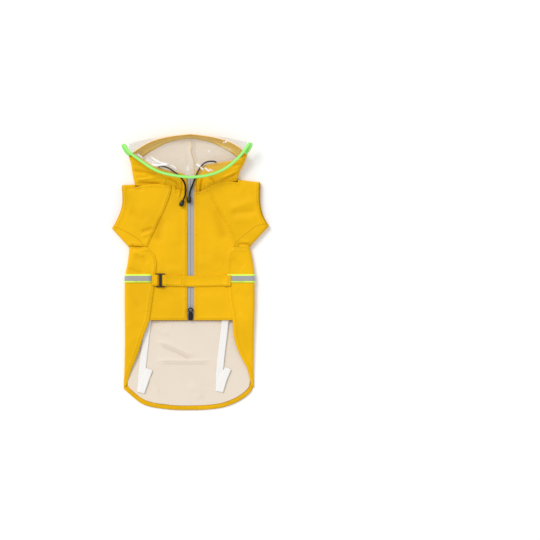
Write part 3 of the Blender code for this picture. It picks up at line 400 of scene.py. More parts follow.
# In metres: what lies below the first height stays on the floor, what lies above the second moves with
# the upper layer's folds, and a seam shows on what lies above the third
FLOOR_LAYER, FOLD_LAYER, SEAM_LAYER = 0.003, 0.009, 0.006
FAR = 1.0  # a distance for points with no hem or seam near them
SEAM_POINTS = 80


def points_of(mesh):
    points = np.empty(len(mesh.vertices) * 3, np.float32)
    mesh.vertices.foreach_get("co", points)
    return points.reshape(-1, 3).astype(float)


def move_points(mesh, points):
    mesh.vertices.foreach_set("co", points.astype(np.float32).ravel())
    mesh.update()


def keep_measure(mesh, name, values):
    attribute = mesh.attributes.get(name) or mesh.attributes.new(name, "FLOAT", "POINT")
    attribute.data.foreach_set("value", np.asarray(values, np.float32))


def add_object(name, data):
    """Put a mesh, a curve, a light or a camera into the scene."""
    piece = bpy.data.objects.new(name, data)
    bpy.context.scene.collection.objects.link(piece)
    return piece


def add_mesh(name, shape):
    """Put a bmesh into the scene, and free it."""
    data = bpy.data.meshes.new(name)
    shape.to_mesh(data)
    shape.free()
    return add_object(name, data)


def merged_copy(node):
    """A bmesh of a CAD solid whose triangles share their points."""
    shape = bmesh.new()
    shape.from_mesh(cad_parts[node].data)
    bmesh.ops.remove_doubles(shape, verts=shape.verts, dist=MERGE)
    return shape


def soften(mesh, angle):
    """Shade a mesh smooth, with sharp edges where its faces meet at more than an angle."""
    mesh.shade_smooth()
    mesh.set_sharp_from_angle(angle=angle)


def settle(piece):
    """Make the piece's modifiers part of its mesh."""
    graph = bpy.context.evaluated_depsgraph_get()
    mesh = bpy.data.meshes.new_from_object(piece.evaluated_get(graph))
    piece.modifiers.clear()
    piece.data = mesh
    return piece


def divide(mesh, longest, rounds=10):
    """Halve the longest edge of each face, round by round, until none is longer than a length in metres."""
    shape = bmesh.new()
    shape.from_mesh(mesh)
    ways = {"quad_method": "SHORT_EDGE", "ngon_method": "EAR_CLIP"}
    bmesh.ops.triangulate(shape, faces=shape.faces, **ways)
    for _ in range(rounds):
        longs = {max(face.edges, key=bmesh.types.BMEdge.calc_length) for face in shape.faces}
        longs = [edge for edge in longs if edge.calc_length() > longest]
        if not longs:
            break
        bmesh.ops.subdivide_edges(shape, edges=longs, cuts=1)
        bmesh.ops.triangulate(shape, faces=[face for face in shape.faces if len(face.verts) > 3], **ways)
    shape.to_mesh(mesh)
    shape.free()


def finer(node, levels, longest=0):
    """A finer copy of a soft solid: its hems stay sharp and its face is rounded.

    It is divided a number of times, and on until no edge is longer than a length in millimetres.
    """
    shape = merged_copy(node)
    bmesh.ops.join_triangles(shape, faces=shape.faces, angle_face_threshold=math.radians(35),
                             angle_shape_threshold=math.radians(75))
    hem = shape.edges.layers.float.new("crease_edge")
    for edge in shape.edges:
        if edge.calc_face_angle(0) > HEM_ANGLE:
            edge[hem] = 1.0
    piece = add_mesh(node + "_soft", shape)
    rounding = piece.modifiers.new("Rounding", "SUBSURF")
    rounding.levels = rounding.render_levels = levels
    settle(piece)
    if longest:
        divide(piece.data, longest * MM)
    soften(piece.data, SHARP_ANGLE)
    return piece


def hem_lines(mesh):
    """The hems of a cloth shell as lists of points: its sharp edges, without those across its wall."""
    shape = bmesh.new()
    shape.from_mesh(mesh)
    hems = {}
    for edge in shape.edges:
        if edge.is_manifold and edge.calc_face_angle(0) > SHARP_ANGLE:
            for a, b in (edge.verts, reversed(edge.verts)):
                hems.setdefault(a, []).append(b)
    lines, seen = [], set()
    starts = [v for v, ends in hems.items() if len(ends) == 1] + list(hems)
    for start in starts:
        if start in seen:
            continue
        seen.add(start)
        line = [start]
        while True:
            ahead = [v for v in hems[line[-1]] if v not in seen]
            if not ahead:
                break
            seen.add(ahead[0])
            line.append(ahead[0])
        if len(line) > 3:
            if line[0] in hems[line[-1]]:
                line.append(line[0])
            lines.append(np.array([v.co for v in line], float))
    shape.free()
    return lines


def lengths_along(points):
    """How far along a line each of its points lies."""
    return np.concatenate([[0], np.cumsum(np.linalg.norm(np.diff(points, axis=0), axis=1))])


def sampled(line, step=1.0 * MM):
    """Points every step along a line."""
    along = lengths_along(line)
    steps = np.arange(0, along[-1], step)
    return np.stack([np.interp(steps, along, column) for column in line.T], axis=1)


def measure_hems(piece, seam=None, margin=0.0):
    """Keep on each point how far it is from the nearest hem, from the stitches at a margin from that hem,
    and from a seam.

    A seam is a line in plan, in millimetres, on the upper side. Its measure is negative on the right of it.
    """
    points = points_of(piece.data)
    rim = np.full(len(points), FAR)
    places = [place for line in hem_lines(piece.data) for place in sampled(line)]
    if places:
        tree = KDTree(len(places))
        for k, place in enumerate(places):
            tree.insert(place, k)
        tree.balance()
        rim = [tree.find(point)[2] for point in points]
    keep_measure(piece.data, "rim", rim)
    keep_measure(piece.data, "row", np.asarray(rim) - margin)
    side = np.full(len(points), FAR)
    if seam:
        line = path(seam)(np.linspace(0, 1, SEAM_POINTS)) * MM
        gaps = points[:, None, :2] - line[None]
        nearest = np.minimum(np.linalg.norm(gaps, axis=2).argmin(axis=1), len(line) - 2)
        along = line[nearest + 1] - line[nearest]
        away = points[:, :2] - line[nearest]
        side = (along[:, 0] * away[:, 1] - along[:, 1] * away[:, 0]) / np.linalg.norm(along, axis=1)
        side[points[:, 2] < min(SEAM_LAYER, points[:, 2].mean())] = FAR
    keep_measure(piece.data, "seam", side)


def wear(piece, material):
    piece.data.materials.clear()
    piece.data.materials.append(material)


def sew(piece, node, material, body=BODY):
    """Give a finished piece its material and its body, and hide the CAD node that it stands for."""
    wear(piece, material)
    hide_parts(node)
    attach(piece, body)
    return piece


# Folds of the upper layer: a line in plan, its half width and its height, with hollows negative
Fold = namedtuple("Fold", "line width height")
FOLDS = (
    # The hood's left side
    Fold(((-118, 203.5), (-104, 201), (-88, 198.6), (-61, 192.4)), 3.4, -2.6),
    Fold(((-112, 193), (-99, 193.6), (-84, 193)), 4.5, 1.6),
    Fold(((-111, 184.6), (-97, 185), (-84.7, 186.4), (-63.5, 190.4)), 2.5, 2.2),
    Fold(((-106, 180.6), (-92, 179.6), (-77, 179.4), (-57, 179.5)), 2.6, -2.6),
    Fold(((-49, 186), (-52, 181.4), (-55, 177.4)), 2.0, 1.8),
    Fold(((-114, 217), (-104, 213), (-96, 211)), 3.0, -1.2),
    # The hood's right side
    Fold(((64, 187.4), (73, 191.6), (85, 196.8), (100, 204.6)), 2.5, 2.4),
    Fold(((58, 183.4), (70, 187.0), (81, 191.2), (93, 197.4)), 2.4, -2.7),
    Fold(((84, 211.0), (96, 214.2), (106, 216)), 2.8, -2.2),
    Fold(((92.0, 196), (94.2, 186.2)), 2.0, 1.4),
    Fold(((39.8, 190.4), (44.5, 184.6), (50.6, 178.4)), 1.6, -2.6),
    Fold(((30, 187), (35, 183), (40, 177.5)), 4.0, 2.6),
    # Gathers on the left of the throat
    Fold(((-49, 189.4), (-38, 184.6), (-29.3, 180), (-22.6, 173), (-21, 166)), 1.7, -2.9),
    Fold(((-38.6, 176), (-37.8, 164)), 1.6, -1.5),
    Fold(((-27.4, 175), (-26.4, 163)), 1.3, -1.9),
    Fold(((-16, 184), (-16.4, 169), (-17, 160), (-19.4, 150)), 1.4, -2.0),
    Fold(((-32.8, 177), (-31.6, 166), (-29.8, 156)), 1.6, 1.5),
    Fold(((-22.6, 168), (-21.6, 160), (-23.6, 148)), 1.6, 1.8),
    Fold(((-12.6, 184), (-12.4, 168), (-13.6, 152)), 1.3, 1.5),
    # Gathers on the right of the throat
    Fold(((23.7, 189), (21.8, 176), (20.4, 167), (18.2, 157.5)), 1.9, -3.5),
    Fold(((11.2, 184), (12, 169), (14.4, 147)), 1.3, -1.9),
    Fold(((15.2, 184.6), (16.0, 168), (16.2, 156)), 1.5, 1.9),
    Fold(((27.6, 182), (25.8, 172), (24.0, 164)), 1.9, 1.5),
    # Sleeves
    Fold(((-131, 168.6), (-112, 168), (-92, 166)), 4.0, -2.1),
    Fold(((-122, 122), (-104, 113), (-88, 101)), 10.4, -1.2),
    Fold(((-99, 80), (-86, 83.4), (-72, 88)), 4.0, -2.3),
    Fold(((-98, 71.4), (-88, 74.8), (-76, 80)), 3.6, 1.8),
    Fold(((75, 126), (104, 136), (136, 148)), 7.8, 1.7),
    Fold(((79, 115.6), (106, 120.4), (136, 122)), 6.5, -1.7),
    Fold(((84, 103), (108, 106), (134, 105)), 7.8, 1.0),
    Fold(((103, 162), (116, 152), (128, 140)), 9.1, -0.8),
    # Armpits
    Fold(((-121, 51), (-108, 47.6), (-90, 48.4)), 3.2, -3.0),
    Fold(((-117, 40), (-104, 38), (-92, 30)), 4.0, 1.9),
    Fold(((-112, 31), (-98, 26), (-84, 17)), 6.5, -1.3),
    Fold(((94, 58), (103, 54.6), (118, 54)), 3.2, -3.0),
    Fold(((98, 66), (108, 61.4), (120, 60)), 3.0, 1.5),
    Fold(((84, 30), (96, 18), (108, 8)), 6.5, -1.2),
    # Fronts, lower beside the raglan seams and the belt
    Fold(((-52, 112), (-62, 86), (-66, 56)), 10.4, -2.0),
    Fold(((46, 130), (60, 96), (70, 60)), 10.4, -2.0),
    Fold(((-30, 122), (-33, 90), (-28, 50)), 15.6, 1.0),
    Fold(((28, 90), (34, 60), (30, 25)), 13.0, -1.0),
    Fold(((-60, 26), (-40, 18), (-16, 14)), 9.1, -0.9),
    Fold(((-52, 2), (-30, 5), (-10, 2)), 6.5, 0.8),
    Fold(((14, 22), (40, 14), (62, 2)), 7.8, 0.9),
    Fold(((-60, -36), (-36, -46), (-12, -50)), 10.4, -0.8),
    Fold(((14, -42), (40, -36), (66, -40)), 9.1, -0.8),
    # Flaps
    Fold(((-126, 8), (-108, 1), (-92, -3)), 4.0, -1.6),
    Fold(((-124, -32), (-112, -50), (-98, -78)), 9.1, -1.2),
    Fold(((-126, -96), (-116, -116), (-106, -140)), 10.4, 0.9),
    Fold(((90, -34), (104, -44), (122, -52)), 7.8, -1.0),
    Fold(((96, -82), (108, -92), (122, -96)), 7.8, 0.9),
    Fold(((104, -110), (112, -136), (120, -168)), 7.8, -0.8),
)
LINING_FOLDS = (
    Fold(((-70, -137), (-42, -147), (-15, -158.6), (10, -172)), 5.0, 2.8),
    Fold(((-66, -143), (-42, -152), (-15, -164.4), (6, -177)), 4.4, -2.4),
    Fold(((-72, -186), (-52, -182), (-10, -182.6), (50, -182)), 3.6, -1.6),
    Fold(((-74, -181), (-50, -177), (-8, -178), (48, -177.6)), 4.2, 1.6),
    Fold(((-76, -108), (-58, -118), (-40, -124)), 5.0, 1.0),
    Fold(((-86, -206), (-70, -226), (-64, -246)), 5.0, 1.0),
    Fold(((-4, -224), (16, -240), (20, -256)), 7.0, 1.2),
)
HOOD_LINING_FOLDS = (
    Fold(((-2.4, 272), (3, 252), (0.6, 243), (6.6, 221), (10.6, 206)), 4.4, 2.6),
    Fold(((2.6, 268), (8.4, 252), (6.4, 242), (12.4, 221), (15, 212)), 3.8, -2.0),
    Fold(((-8, 246), (-9, 228), (-4, 204)), 3.0, -0.9),
    Fold(((-92, 228), (-72, 222), (-50, 208)), 6.0, 1.0),
)
HEM_WIDTH, HEM_SINK = 1.7, -0.45  # cloth sinks this much, this near to its hems
SWAY = 0.5  # height of the broad unevenness
REACH = 0.2  # how far hems reach out sideways, so that sewn pieces meet


def upper_share(points):
    """0 for points on the floor's layer and 1 for points on the upper layer."""
    return ease((points[:, 2] - FLOOR_LAYER) / (FOLD_LAYER - FLOOR_LAYER))


def height_of(points, folds):
    """How far folds raise each point, in metres."""
    plan = points[:, :2] / MM
    height = np.zeros(len(plan))
    for fold in folds:
        line = path(fold.line)(np.linspace(0, 1, 40))
        low, high = line.min(axis=0) - 3 * fold.width, line.max(axis=0) + 3 * fold.width
        inside = ((plan > low) & (plan < high)).all(axis=1).nonzero()[0]
        gaps = np.linalg.norm(plan[inside, None] - line[None], axis=2)
        share = gaps.argmin(axis=1) / (len(line) - 1)
        taper = ease(np.minimum(share, 1 - share) * 4 + 0.1)
        height[inside] += fold.height * taper * np.exp(-((gaps.min(axis=1) / fold.width) ** 2))
    return height * MM


def sway(points):
    """Broad unevenness of cloth laid by hand, in metres."""
    x, y = points[:, 0] / MM, points[:, 1] / MM
    return SWAY * MM * np.sin(x / 23 + 1.3 * np.sin(y / 41)) * np.sin(y / 31 + 0.8 * np.sin(x / 37))


def drape(piece, scale):
    """Raise and sink the upper layer of a piece along the folds, and leave what lies on the floor."""
    points = points_of(piece.data)
    height = height_of(points, FOLDS) * scale
    share = upper_share(points)
    # the kept fold heights paint shade in the cloth's hollows and a highlight on its ridges
    keep_measure(piece.data, "fold", height * share)
    points[:, 2] += (height + sway(points)) * share
    rims = piece.data.attributes.get("rim")
    if rims:
        rim = np.empty(len(points), np.float32)
        rims.data.foreach_get("value", rim)
        points[:, 2] += HEM_SINK * MM * np.exp(-((rim / MM / HEM_WIDTH) ** 2)) * share
    move_points(piece.data, points)


def crumple(piece, folds, scale):
    """Raise a lining that lies on the back along its folds. Its hollows don't sink: they only get painted
    shade, from the kept fold measure.
    """
    points = points_of(piece.data)
    height = height_of(points, folds) * scale
    keep_measure(piece.data, "fold", height)
    points[:, 2] += np.maximum(height, 0)
    move_points(piece.data, points)


def tuck(piece, line, reach, slide, drop):
    """Lead an edge of the upper layer on under the piece above it.

    The edge lies along a line of (x, y) points. What is within reach of it slides on along Y, up or
    down, and drops. All are in millimetres.
    """
    points = points_of(piece.data)
    away = (smooth(line)(points[:, 0] / MM) - points[:, 1] / MM) * np.sign(slide)
    share = ease(1 - away / reach) * upper_share(points)
    points[:, 1] += slide * MM * share
    points[:, 2] -= drop * MM * share
    move_points(piece.data, points)


def widen(piece):
    """Let the hems reach out sideways."""
    normals = np.empty(len(piece.data.vertices) * 3, np.float32)
    piece.data.vertices.foreach_get("normal", normals)
    outward = normals.reshape(-1, 3).astype(float)
    outward[:, 2] = 0
    move_points(piece.data, points_of(piece.data) + outward * REACH * MM)


def rounded(node, width):
    """A copy of a hard CAD solid with its corners rounded."""
    shape = merged_copy(node)
    bmesh.ops.dissolve_limit(shape, angle_limit=math.radians(2), verts=shape.verts, edges=shape.edges)
    piece = add_mesh(node + "_rounded", shape)
    corner = piece.modifiers.new("Corner", "BEVEL")
    corner.width = width * MM
    corner.segments = 3
    corner.limit_method = "ANGLE"
    corner.angle_limit = math.radians(35)
    settle(piece)
    soften(piece.data, math.radians(40))
    return piece


# The visor's binding, as points along its middle with its width: the band along the free edge, and
# the short band down each side from the tip to the temple
BINDING = (
    (-132.4, 254.2, 29.6, 5.0), (-129.6, 250.4, 29.8, 7.0), (-125.8, 244.6, 30.2, 6.6),
    (-120.4, 238.0, 30.8, 6.0), (-113.6, 232.6, 31.4, 5.8), (-97.2, 221.0, 33.2, 5.8),
    (-78.2, 208.0, 35.7, 5.8), (-57.0, 198.0, 37.7, 5.8), (-36.4, 192.8, 39.2, 5.8),
    (-17.0, 189.8, 39.9, 5.8), (0.0, 188.4, 40.0, 5.8), (21.2, 189.8, 39.9, 5.8), (42.6, 194.0, 39.2, 5.8),
    (62.8, 201.8, 37.2, 5.8), (79.2, 212.0, 35.2, 5.8), (94.0, 225.2, 32.8, 5.8), (104.4, 236.8, 30.8, 6.0),
    (112.0, 247.0, 29.8, 6.4), (116.6, 253.4, 29.6, 6.6), (119.4, 257.2, 29.4, 4.6),
)
SIDE_BANDS = (
    ((-134.4, 254.0, 28.9, 4.4), (-132.6, 250.2, 28.4, 7.0), (-128.6, 243.4, 26.6, 7.6),
     (-124.4, 236.8, 24.2, 6.6), (-120.6, 231.4, 21.6, 4.0)),
    ((121.6, 257.0, 28.7, 4.4), (121.0, 253.0, 28.0, 6.6), (117.6, 246.0, 26.4, 7.0),
     (113.6, 239.8, 24.0, 6.0), (110.4, 234.6, 21.6, 4.0)),
)
BINDING_WALL, BINDING_SIDES = 2.4, 14
BINDING_STEPS, SIDE_BAND_STEPS = 150, 24
# The hood's brim in plan. The clear sheet shows the floor outside it.
BRIM = ((-118.4, 234.4), (-104.8, 244.0), (-83.8, 257.4), (-64.8, 264.4), (-36.0, 270.4), (0.0, 274.2),
        (10.6, 273.2), (52.4, 267.0), (73.2, 261.0), (94.2, 251.0), (109.4, 236.6))
# Creases of the visor that catch the light, painted white as glints: a line in plan, half width, height
GLINTS = (
    Fold(((-111, 235.6), (-104, 228.6), (-96, 221.6), (-86, 214.4)), 1.4, 1.0),
    Fold(((-105, 236), (-99, 230.4), (-93, 226)), 1.2, 0.8),
    Fold(((-80, 230), (-68, 222.4), (-57, 216.6), (-41, 213.6)), 1.6, 1.0),
    Fold(((-79, 214.6), (-66, 211.8), (-56, 212.8), (-43, 213.4)), 1.6, 1.0),
    Fold(((-90, 226), (-76, 218), (-60, 214)), 5.0, 0.42),
    Fold(((-40, 212.6), (-32, 209.4), (-26, 203.4)), 1.4, 0.6),
    Fold(((12.4, 214.6), (17, 211.6), (21.4, 209.4)), 1.9, 1.0),
    Fold(((20.8, 208.6), (24, 205.4), (27.4, 202.2)), 1.3, 1.0),
    Fold(((28.4, 208), (34, 203.6), (40.2, 199)), 1.3, 1.0),
    Fold(((38, 205), (43, 202), (46, 200)), 1.2, 0.6),
    Fold(((37.8, 242), (38.4, 239.4), (38.2, 237)), 1.6, 1.0),
    Fold(((66.4, 258.8), (68.2, 256.4)), 1.3, 0.8),
    Fold(((70.6, 260.2), (72.6, 257)), 1.3, 0.9),
    Fold(((56, 249), (70, 246), (86, 239)), 3.0, 0.14),
    Fold(((-4, 212), (-3.6, 206), (-5, 200)), 2.2, 0.45),
)
CORD_RADIUS = 1.6
CORDS = {
    "left": (
        (-64.2, 210.0, 17.6), (-55.0, 210.6, 17.6), (-46.2, 208.6, 17.6), (-34.8, 202.0, 17.6),
        (-22.0, 192.0, 16.8), (-13.8, 182.0, 15.2), (-9.8, 172.0, 13.3), (-9.0, 162.0, 12.3),
        (-10.2, 153.6, 13.3), (-12.4, 147.2, 14.6), (-13.6, 144.4, 14.7),
    ),
    "right": (
        (52.4, 219.0, 18.0), (46.0, 220.8, 18.2), (38.4, 220.6, 18.2), (29.2, 217.6, 18.2),
        (20.2, 208.6, 17.9), (12.6, 194.6, 15.9), (7.2, 180.6, 13.5), (2.4, 168.6, 11.6),
        (-0.6, 160.6, 12.0), (-1.5, 154.8, 13.1), (-1.7, 152.2, 13.2),
    ),
}
ZIP_MIDDLE = 0.7
# How far the belt's sewn end laps over the flap and how much it climbs, each from an X and over a length
BELT_LAP, BELT_LAP_FROM, BELT_LAP_OVER = 7.6, 62, 11.3
BELT_STEP, BELT_STEP_FROM, BELT_STEP_OVER = 2.6, 64, 8
# The buckle's bar: its middle and half width along X, the height above which it lies, and how much wider
# it is made
BAR_AT, BAR_HALF, BAR_ABOVE, BAR_WIDER = -59.4, 2.8, 12.5, 1.3
BANDS = {"waist_band": -12.5, "shoulder_band_left": 156.5, "shoulder_band_right": 156.5}
CORD_STEPS = 90
VISOR_LEVELS, VISOR_FINE = 3, 1.4
GLINT_HEIGHT, BRIM_WIDTH = 0.8, 2.0  # of the visor's creases, and of the change of tint at the brim
# The zip pull: half its outline from the hinge to the far end, its hole, its hinge and its wall
PULL_HALF = ((3.2, -1.1), (3.5, 1.2), (3.3, 3.4), (3.6, 5.6), (4.7, 7.6), (5.4, 9.8), (5.1, 12.2),
             (3.7, 14.2), (1.6, 15.2))
PULL_HOLE = (0.0, 10.0, 2.9)
PULL_SLOT_AT = (0.7, -86.0, 12.85)
PULL_WALL, PULL_BEVEL = 1.8, 0.45


def rope(name, points, radius, count, material):
    """A round cord along a smooth curve, as a curve object."""
    route = path(points)(np.linspace(0, 1, count)) * MM
    curve = bpy.data.curves.new(name, "CURVE")
    curve.dimensions = "3D"
    spline = curve.splines.new("POLY")
    spline.points.add(count - 1)
    for place, point in zip(spline.points, route):
        place.co = (*point, 1)
    curve.bevel_depth = radius * MM
    curve.bevel_resolution = 4
    curve.use_fill_caps = True
    spline.use_smooth = True
    curve.materials.append(material)
    return add_object(name, curve), route


def band(mesh, points, count):
    """Sweep a flat band with round edges along points that each give its width, in a number of steps."""
    run, side = mesh.verts.layers.float["run"], mesh.verts.layers.float["side"]
    route = path(points)(np.linspace(0, 1, count))
    places = [Vector(point[:3]) * MM for point in route]
    frames = []
    for k, place in enumerate(places):
        along = (places[min(k + 1, count - 1)] - places[max(k - 1, 0)]).normalized()
        across = along.cross((0, 0, 1)).normalized() * route[k][3] / 2 * MM
        up = across.cross(along).normalized() * BINDING_WALL / 2 * MM
        turn = Matrix((across, up, along * MM)).transposed().to_4x4()
        frames.append(Matrix.Translation(place) @ turn)
    made = bmesh.ops.create_circle(mesh, cap_ends=True, segments=BINDING_SIDES, radius=1)["verts"]
    across_share = [vert.co.x for vert in made]
    bmesh.ops.transform(mesh, matrix=frames[0], verts=made)
    cap = made[0].link_faces[0]
    travelled = 0.0
    for vert, share in zip(made, across_share):
        vert[side] = share
    for k in range(1, count):
        parts = bmesh.ops.extrude_face_region(mesh, geom=[cap])["geom"]
        cap = next(part for part in parts if isinstance(part, bmesh.types.BMFace))
        bmesh.ops.transform(mesh, matrix=frames[k] @ frames[k - 1].inverted(), verts=cap.verts)
        travelled += (places[k] - places[k - 1]).length
        for vert in cap.verts:
            vert[run] = travelled


def plate(name, outline, hole, wall, bevel):
    """A flat plate from an outline and a round hole, in millimetres, as a mesh object."""
    curve = bpy.data.curves.new(name, "CURVE")
    curve.dimensions = "2D"
    curve.fill_mode = "BOTH"
    turns = np.linspace(0, TURN, 29)[:-1]
    x, y, radius = hole
    ring = [(x + radius * math.cos(turn), y + radius * math.sin(turn)) for turn in turns]
    for points in (outline, ring):
        spline = curve.splines.new("POLY")
        spline.points.add(len(points) - 1)
        for spot, (x, y) in zip(spline.points, points):
            spot.co = (x * MM, y * MM, 0, 1)
        spline.use_cyclic_u = True
    curve.extrude = (wall / 2 - bevel) * MM
    curve.bevel_depth = bevel * MM
    curve.bevel_resolution = 2
    curve.offset = -bevel * MM
    flat = add_object(name, curve)
    mesh = bpy.data.meshes.new_from_object(flat.evaluated_get(bpy.context.evaluated_depsgraph_get()))
    bpy.data.objects.remove(flat)
    shape = bmesh.new()
    shape.from_mesh(mesh)
    bmesh.ops.remove_doubles(shape, verts=shape.verts, dist=MERGE / 2)
    bmesh.ops.recalc_face_normals(shape, faces=shape.faces)
    shape.to_mesh(mesh)
    shape.free()
    soften(mesh, math.radians(35))
    return add_object(name, mesh)


# Settings

def tint(name, description, default):
    return FloatVectorProperty(name=name, description=description, subtype="COLOR", default=default, min=0,
                               max=1)


class RaincoatColours(bpy.types.PropertyGroup):
    """Colours of the cloths and fittings, and of the painted shade and highlights on them."""

    cloth: tint("Cloth", "Coated outer cloth", (0.845, 0.465, 0.0015))
    # painted shade in the cloth's hollows, stitch rows, hems and seams, and along the facing's edges
    shadow: tint("Cloth in hollows", "Outer cloth in folds and seams", (0.58, 0.235, 0.0))
    # painted highlight on the tops of the cloth's folds
    light: tint("Cloth on ridges", "Outer cloth on the tops of folds", (0.93, 0.53, 0.004))
    facing: tint("Facing", "Inside of the hood's brim", (0.84, 0.54, 0.085))
    lining: tint("Lining", "Knitted mesh inside", (0.82, 0.715, 0.595))
    # painted shade in the lining's creases
    crease_painted_light: tint("Lining in creases", "Knitted mesh in its creases", (0.60, 0.48, 0.36))
    veil: tint("Clear sheet", "Tint of the clear visor", (0.37, 0.36, 0.34))
    edging: tint("Edging", "Binding round the visor", (0.26, 0.84, 0.12))
    # painted highlight along the middle of the binding
    glare: tint("Edging's light", "Middle of the binding", (0.50, 0.97, 0.32))
    bright: tint("Bright edges", "Edges of the reflective tape", (0.73, 1.0, 0.08))
    tape: tint("Grey tape", "Reflective and zip tape", (0.39, 0.39, 0.39))
    elastic: tint("Elastic", "Leg straps", (0.88, 0.86, 0.83))
    black: tint("Black", "Cords, buckle and fittings", (0.014, 0.010, 0.009))


class RaincoatSizes(bpy.types.PropertyGroup):
    """Sizes of the sewing and of the folds."""

    stitch_length: FloatProperty(name="Stitch", description="Length of one stitch", unit="LENGTH",
                                 default=0.0032, min=0.001, max=0.01)
    hem_margin: FloatProperty(name="Hem margin", description="From a hem to its row of stitches",
                              unit="LENGTH", default=0.0036, min=0.001, max=0.02)
    fold_height: FloatProperty(name="Folds", description="Height of the folds, 1 as laid", subtype="FACTOR",
                               default=1.0, min=0, max=3)
    rounding: IntProperty(name="Rounding", description="How often each cloth face is divided", default=2,
                          min=1, max=3)


def settings():
    """The scene's colours and sizes."""
    scene = bpy.context.scene
    return scene.raincoat_colours, scene.raincoat_sizes


def yellow_cloth():
    """The outer cloth's material, which is made once."""
    colours, sizes = settings()
    return bpy.data.materials.get("coated_cloth") or coated_cloth("coated_cloth", colours, sizes)


# Seams that run inside a piece, in plan
SEAMS = {
    "hood_lining": ((-1.6, 273), (1.6, 256), (1.0, 243), (6.6, 222), (7.6, 206)),
    "sleeve_left": ((-158, 92.6), (-139.7, 86), (-122, 77), (-106, 67), (-96, 57.6), (-86, 47)),
    "sleeve_right": ((158, 97), (133.9, 92.6), (116, 80), (98, 65), (90, 56), (84, 47)),
}
# The longest edge that each soft piece may keep, where it isn't COARSE
FINE = {"back_skirt": 3.6, "front_left": 1.9, "front_right": 1.9, "sleeve_left": 2.4, "sleeve_right": 2.4,
        "hood_left": 2.0, "hood_right": 2.0, "side_panel_left": 2.4, "side_panel_right": 2.4,
        "back_upper": 7.0, "body_lining": 3.0, "hood_lining": 2.0}
COARSE = 4.0
# From the hem to the stitches, where it isn't the hem margin
MARGINS = {"back_skirt": 6.0, "belt_strap": 2.6, "belt_tab": 2.6, "tail_hem": 2.2}
# Edges that lie under another piece: line in plan, reach, slide and drop
NECK = ((-110.0, 175.0), (-60.0, 177.0), (-37.0, 172.0), (-22.0, 165.5), (-6.4, 162.0), (7.8, 160.5),
        (18.0, 161.5), (33.5, 168.0), (50.0, 177.0), (69.0, 182.0), (95.0, 184.6))
UNDERARM = ((-130.0, 49.0), (130.0, 49.0))
TUCKS = {
    "hood_left": (NECK, 7.0, -3.4, 2.4), "hood_right": (NECK, 7.0, -3.4, 2.4),
    "side_panel_left": (UNDERARM, 6.0, 7.0, 1.8), "side_panel_right": (UNDERARM, 6.0, 7.0, 1.8),
}


# The flaps' lower ends in metres: from which Y and over what length they taper, beyond which X on either
# side, how far they slide, by what share they drop, and the height of the back's upper face under them
TAPER_FROM, TAPER_OVER, TAPER_BEYOND, TAPER_SLIDE, TAPER_DROP = -0.190, 0.030, 0.1, 0.009, 0.55
BACK_TOP = 0.0016


def cloth_piece(node, folds=True):
    """A piece of the outer cloth."""
    _, sizes = settings()
    piece = finer(node, sizes.rounding, FINE.get(node, COARSE))
    measure_hems(piece, SEAMS.get(node), MARGINS.get(node, sizes.hem_margin / MM) * MM)
    if folds:
        drape(piece, sizes.fold_height)
    if node in TUCKS:
        tuck(piece, *TUCKS[node])
    widen(piece)
    return sew(piece, node, yellow_cloth())


def taper_flaps(piece):
    """Lead the flaps' lower ends down into the corners of the tail."""
    points = points_of(piece.data)
    x, y, z = points.T
    share = ease((TAPER_FROM - y) / TAPER_OVER) * (z > BACK_TOP) * (np.abs(x) > TAPER_BEYOND)
    points[:, 1] -= TAPER_SLIDE * share
    points[:, 2] -= (z - BACK_TOP) * TAPER_DROP * share
    move_points(piece.data, points)


class RAINCOAT_OT_body(bpy.types.Operator):
    """Back panels, skirt with its flaps, side panels and tail hem"""

    bl_idname = "raincoat.body"
    bl_label = "Body"

    def execute(self, context):
        for node in ("back_upper", "side_panel_left", "side_panel_right", "tail_hem"):
            cloth_piece(node)
        taper_flaps(cloth_piece("back_skirt"))
        return {"FINISHED"}


class RAINCOAT_OT_fronts(bpy.types.Operator):
    """The two belly panels beside the zip"""

    bl_idname = "raincoat.fronts"
    bl_label = "Fronts"

    def execute(self, context):
        for node in ("front_left", "front_right"):
            cloth_piece(node)
        return {"FINISHED"}


class RAINCOAT_OT_sleeves(bpy.types.Operator):
    """The two short sleeves"""

    bl_idname = "raincoat.sleeves"
    bl_label = "Sleeves"

    def execute(self, context):
        for node in ("sleeve_left", "sleeve_right"):
            cloth_piece(node)
        return {"FINISHED"}


class RAINCOAT_OT_hood(bpy.types.Operator):
    """The hood's two halves and the facing inside its brim"""

    bl_idname = "raincoat.hood"
    bl_label = "Hood"

    def execute(self, context):
        colours, _ = settings()
        for node in ("hood_left", "hood_right"):
            cloth_piece(node)
        wear(cloth_piece("hood_facing"), streaked_facing(colours))
        return {"FINISHED"}


class RAINCOAT_OT_lining(bpy.types.Operator):
    """Mesh lining of the body and the hood"""

    bl_idname = "raincoat.lining"
    bl_label = "Lining"

    def execute(self, context):
        colours, sizes = settings()
        material = ribbed_mesh(colours)
        for node, folds in (("body_lining", LINING_FOLDS), ("hood_lining", HOOD_LINING_FOLDS)):
            piece = finer(node, sizes.rounding, FINE[node])
            measure_hems(piece, SEAMS.get(node))
            crumple(piece, folds, sizes.fold_height)
            sew(piece, node, material)
        return {"FINISHED"}


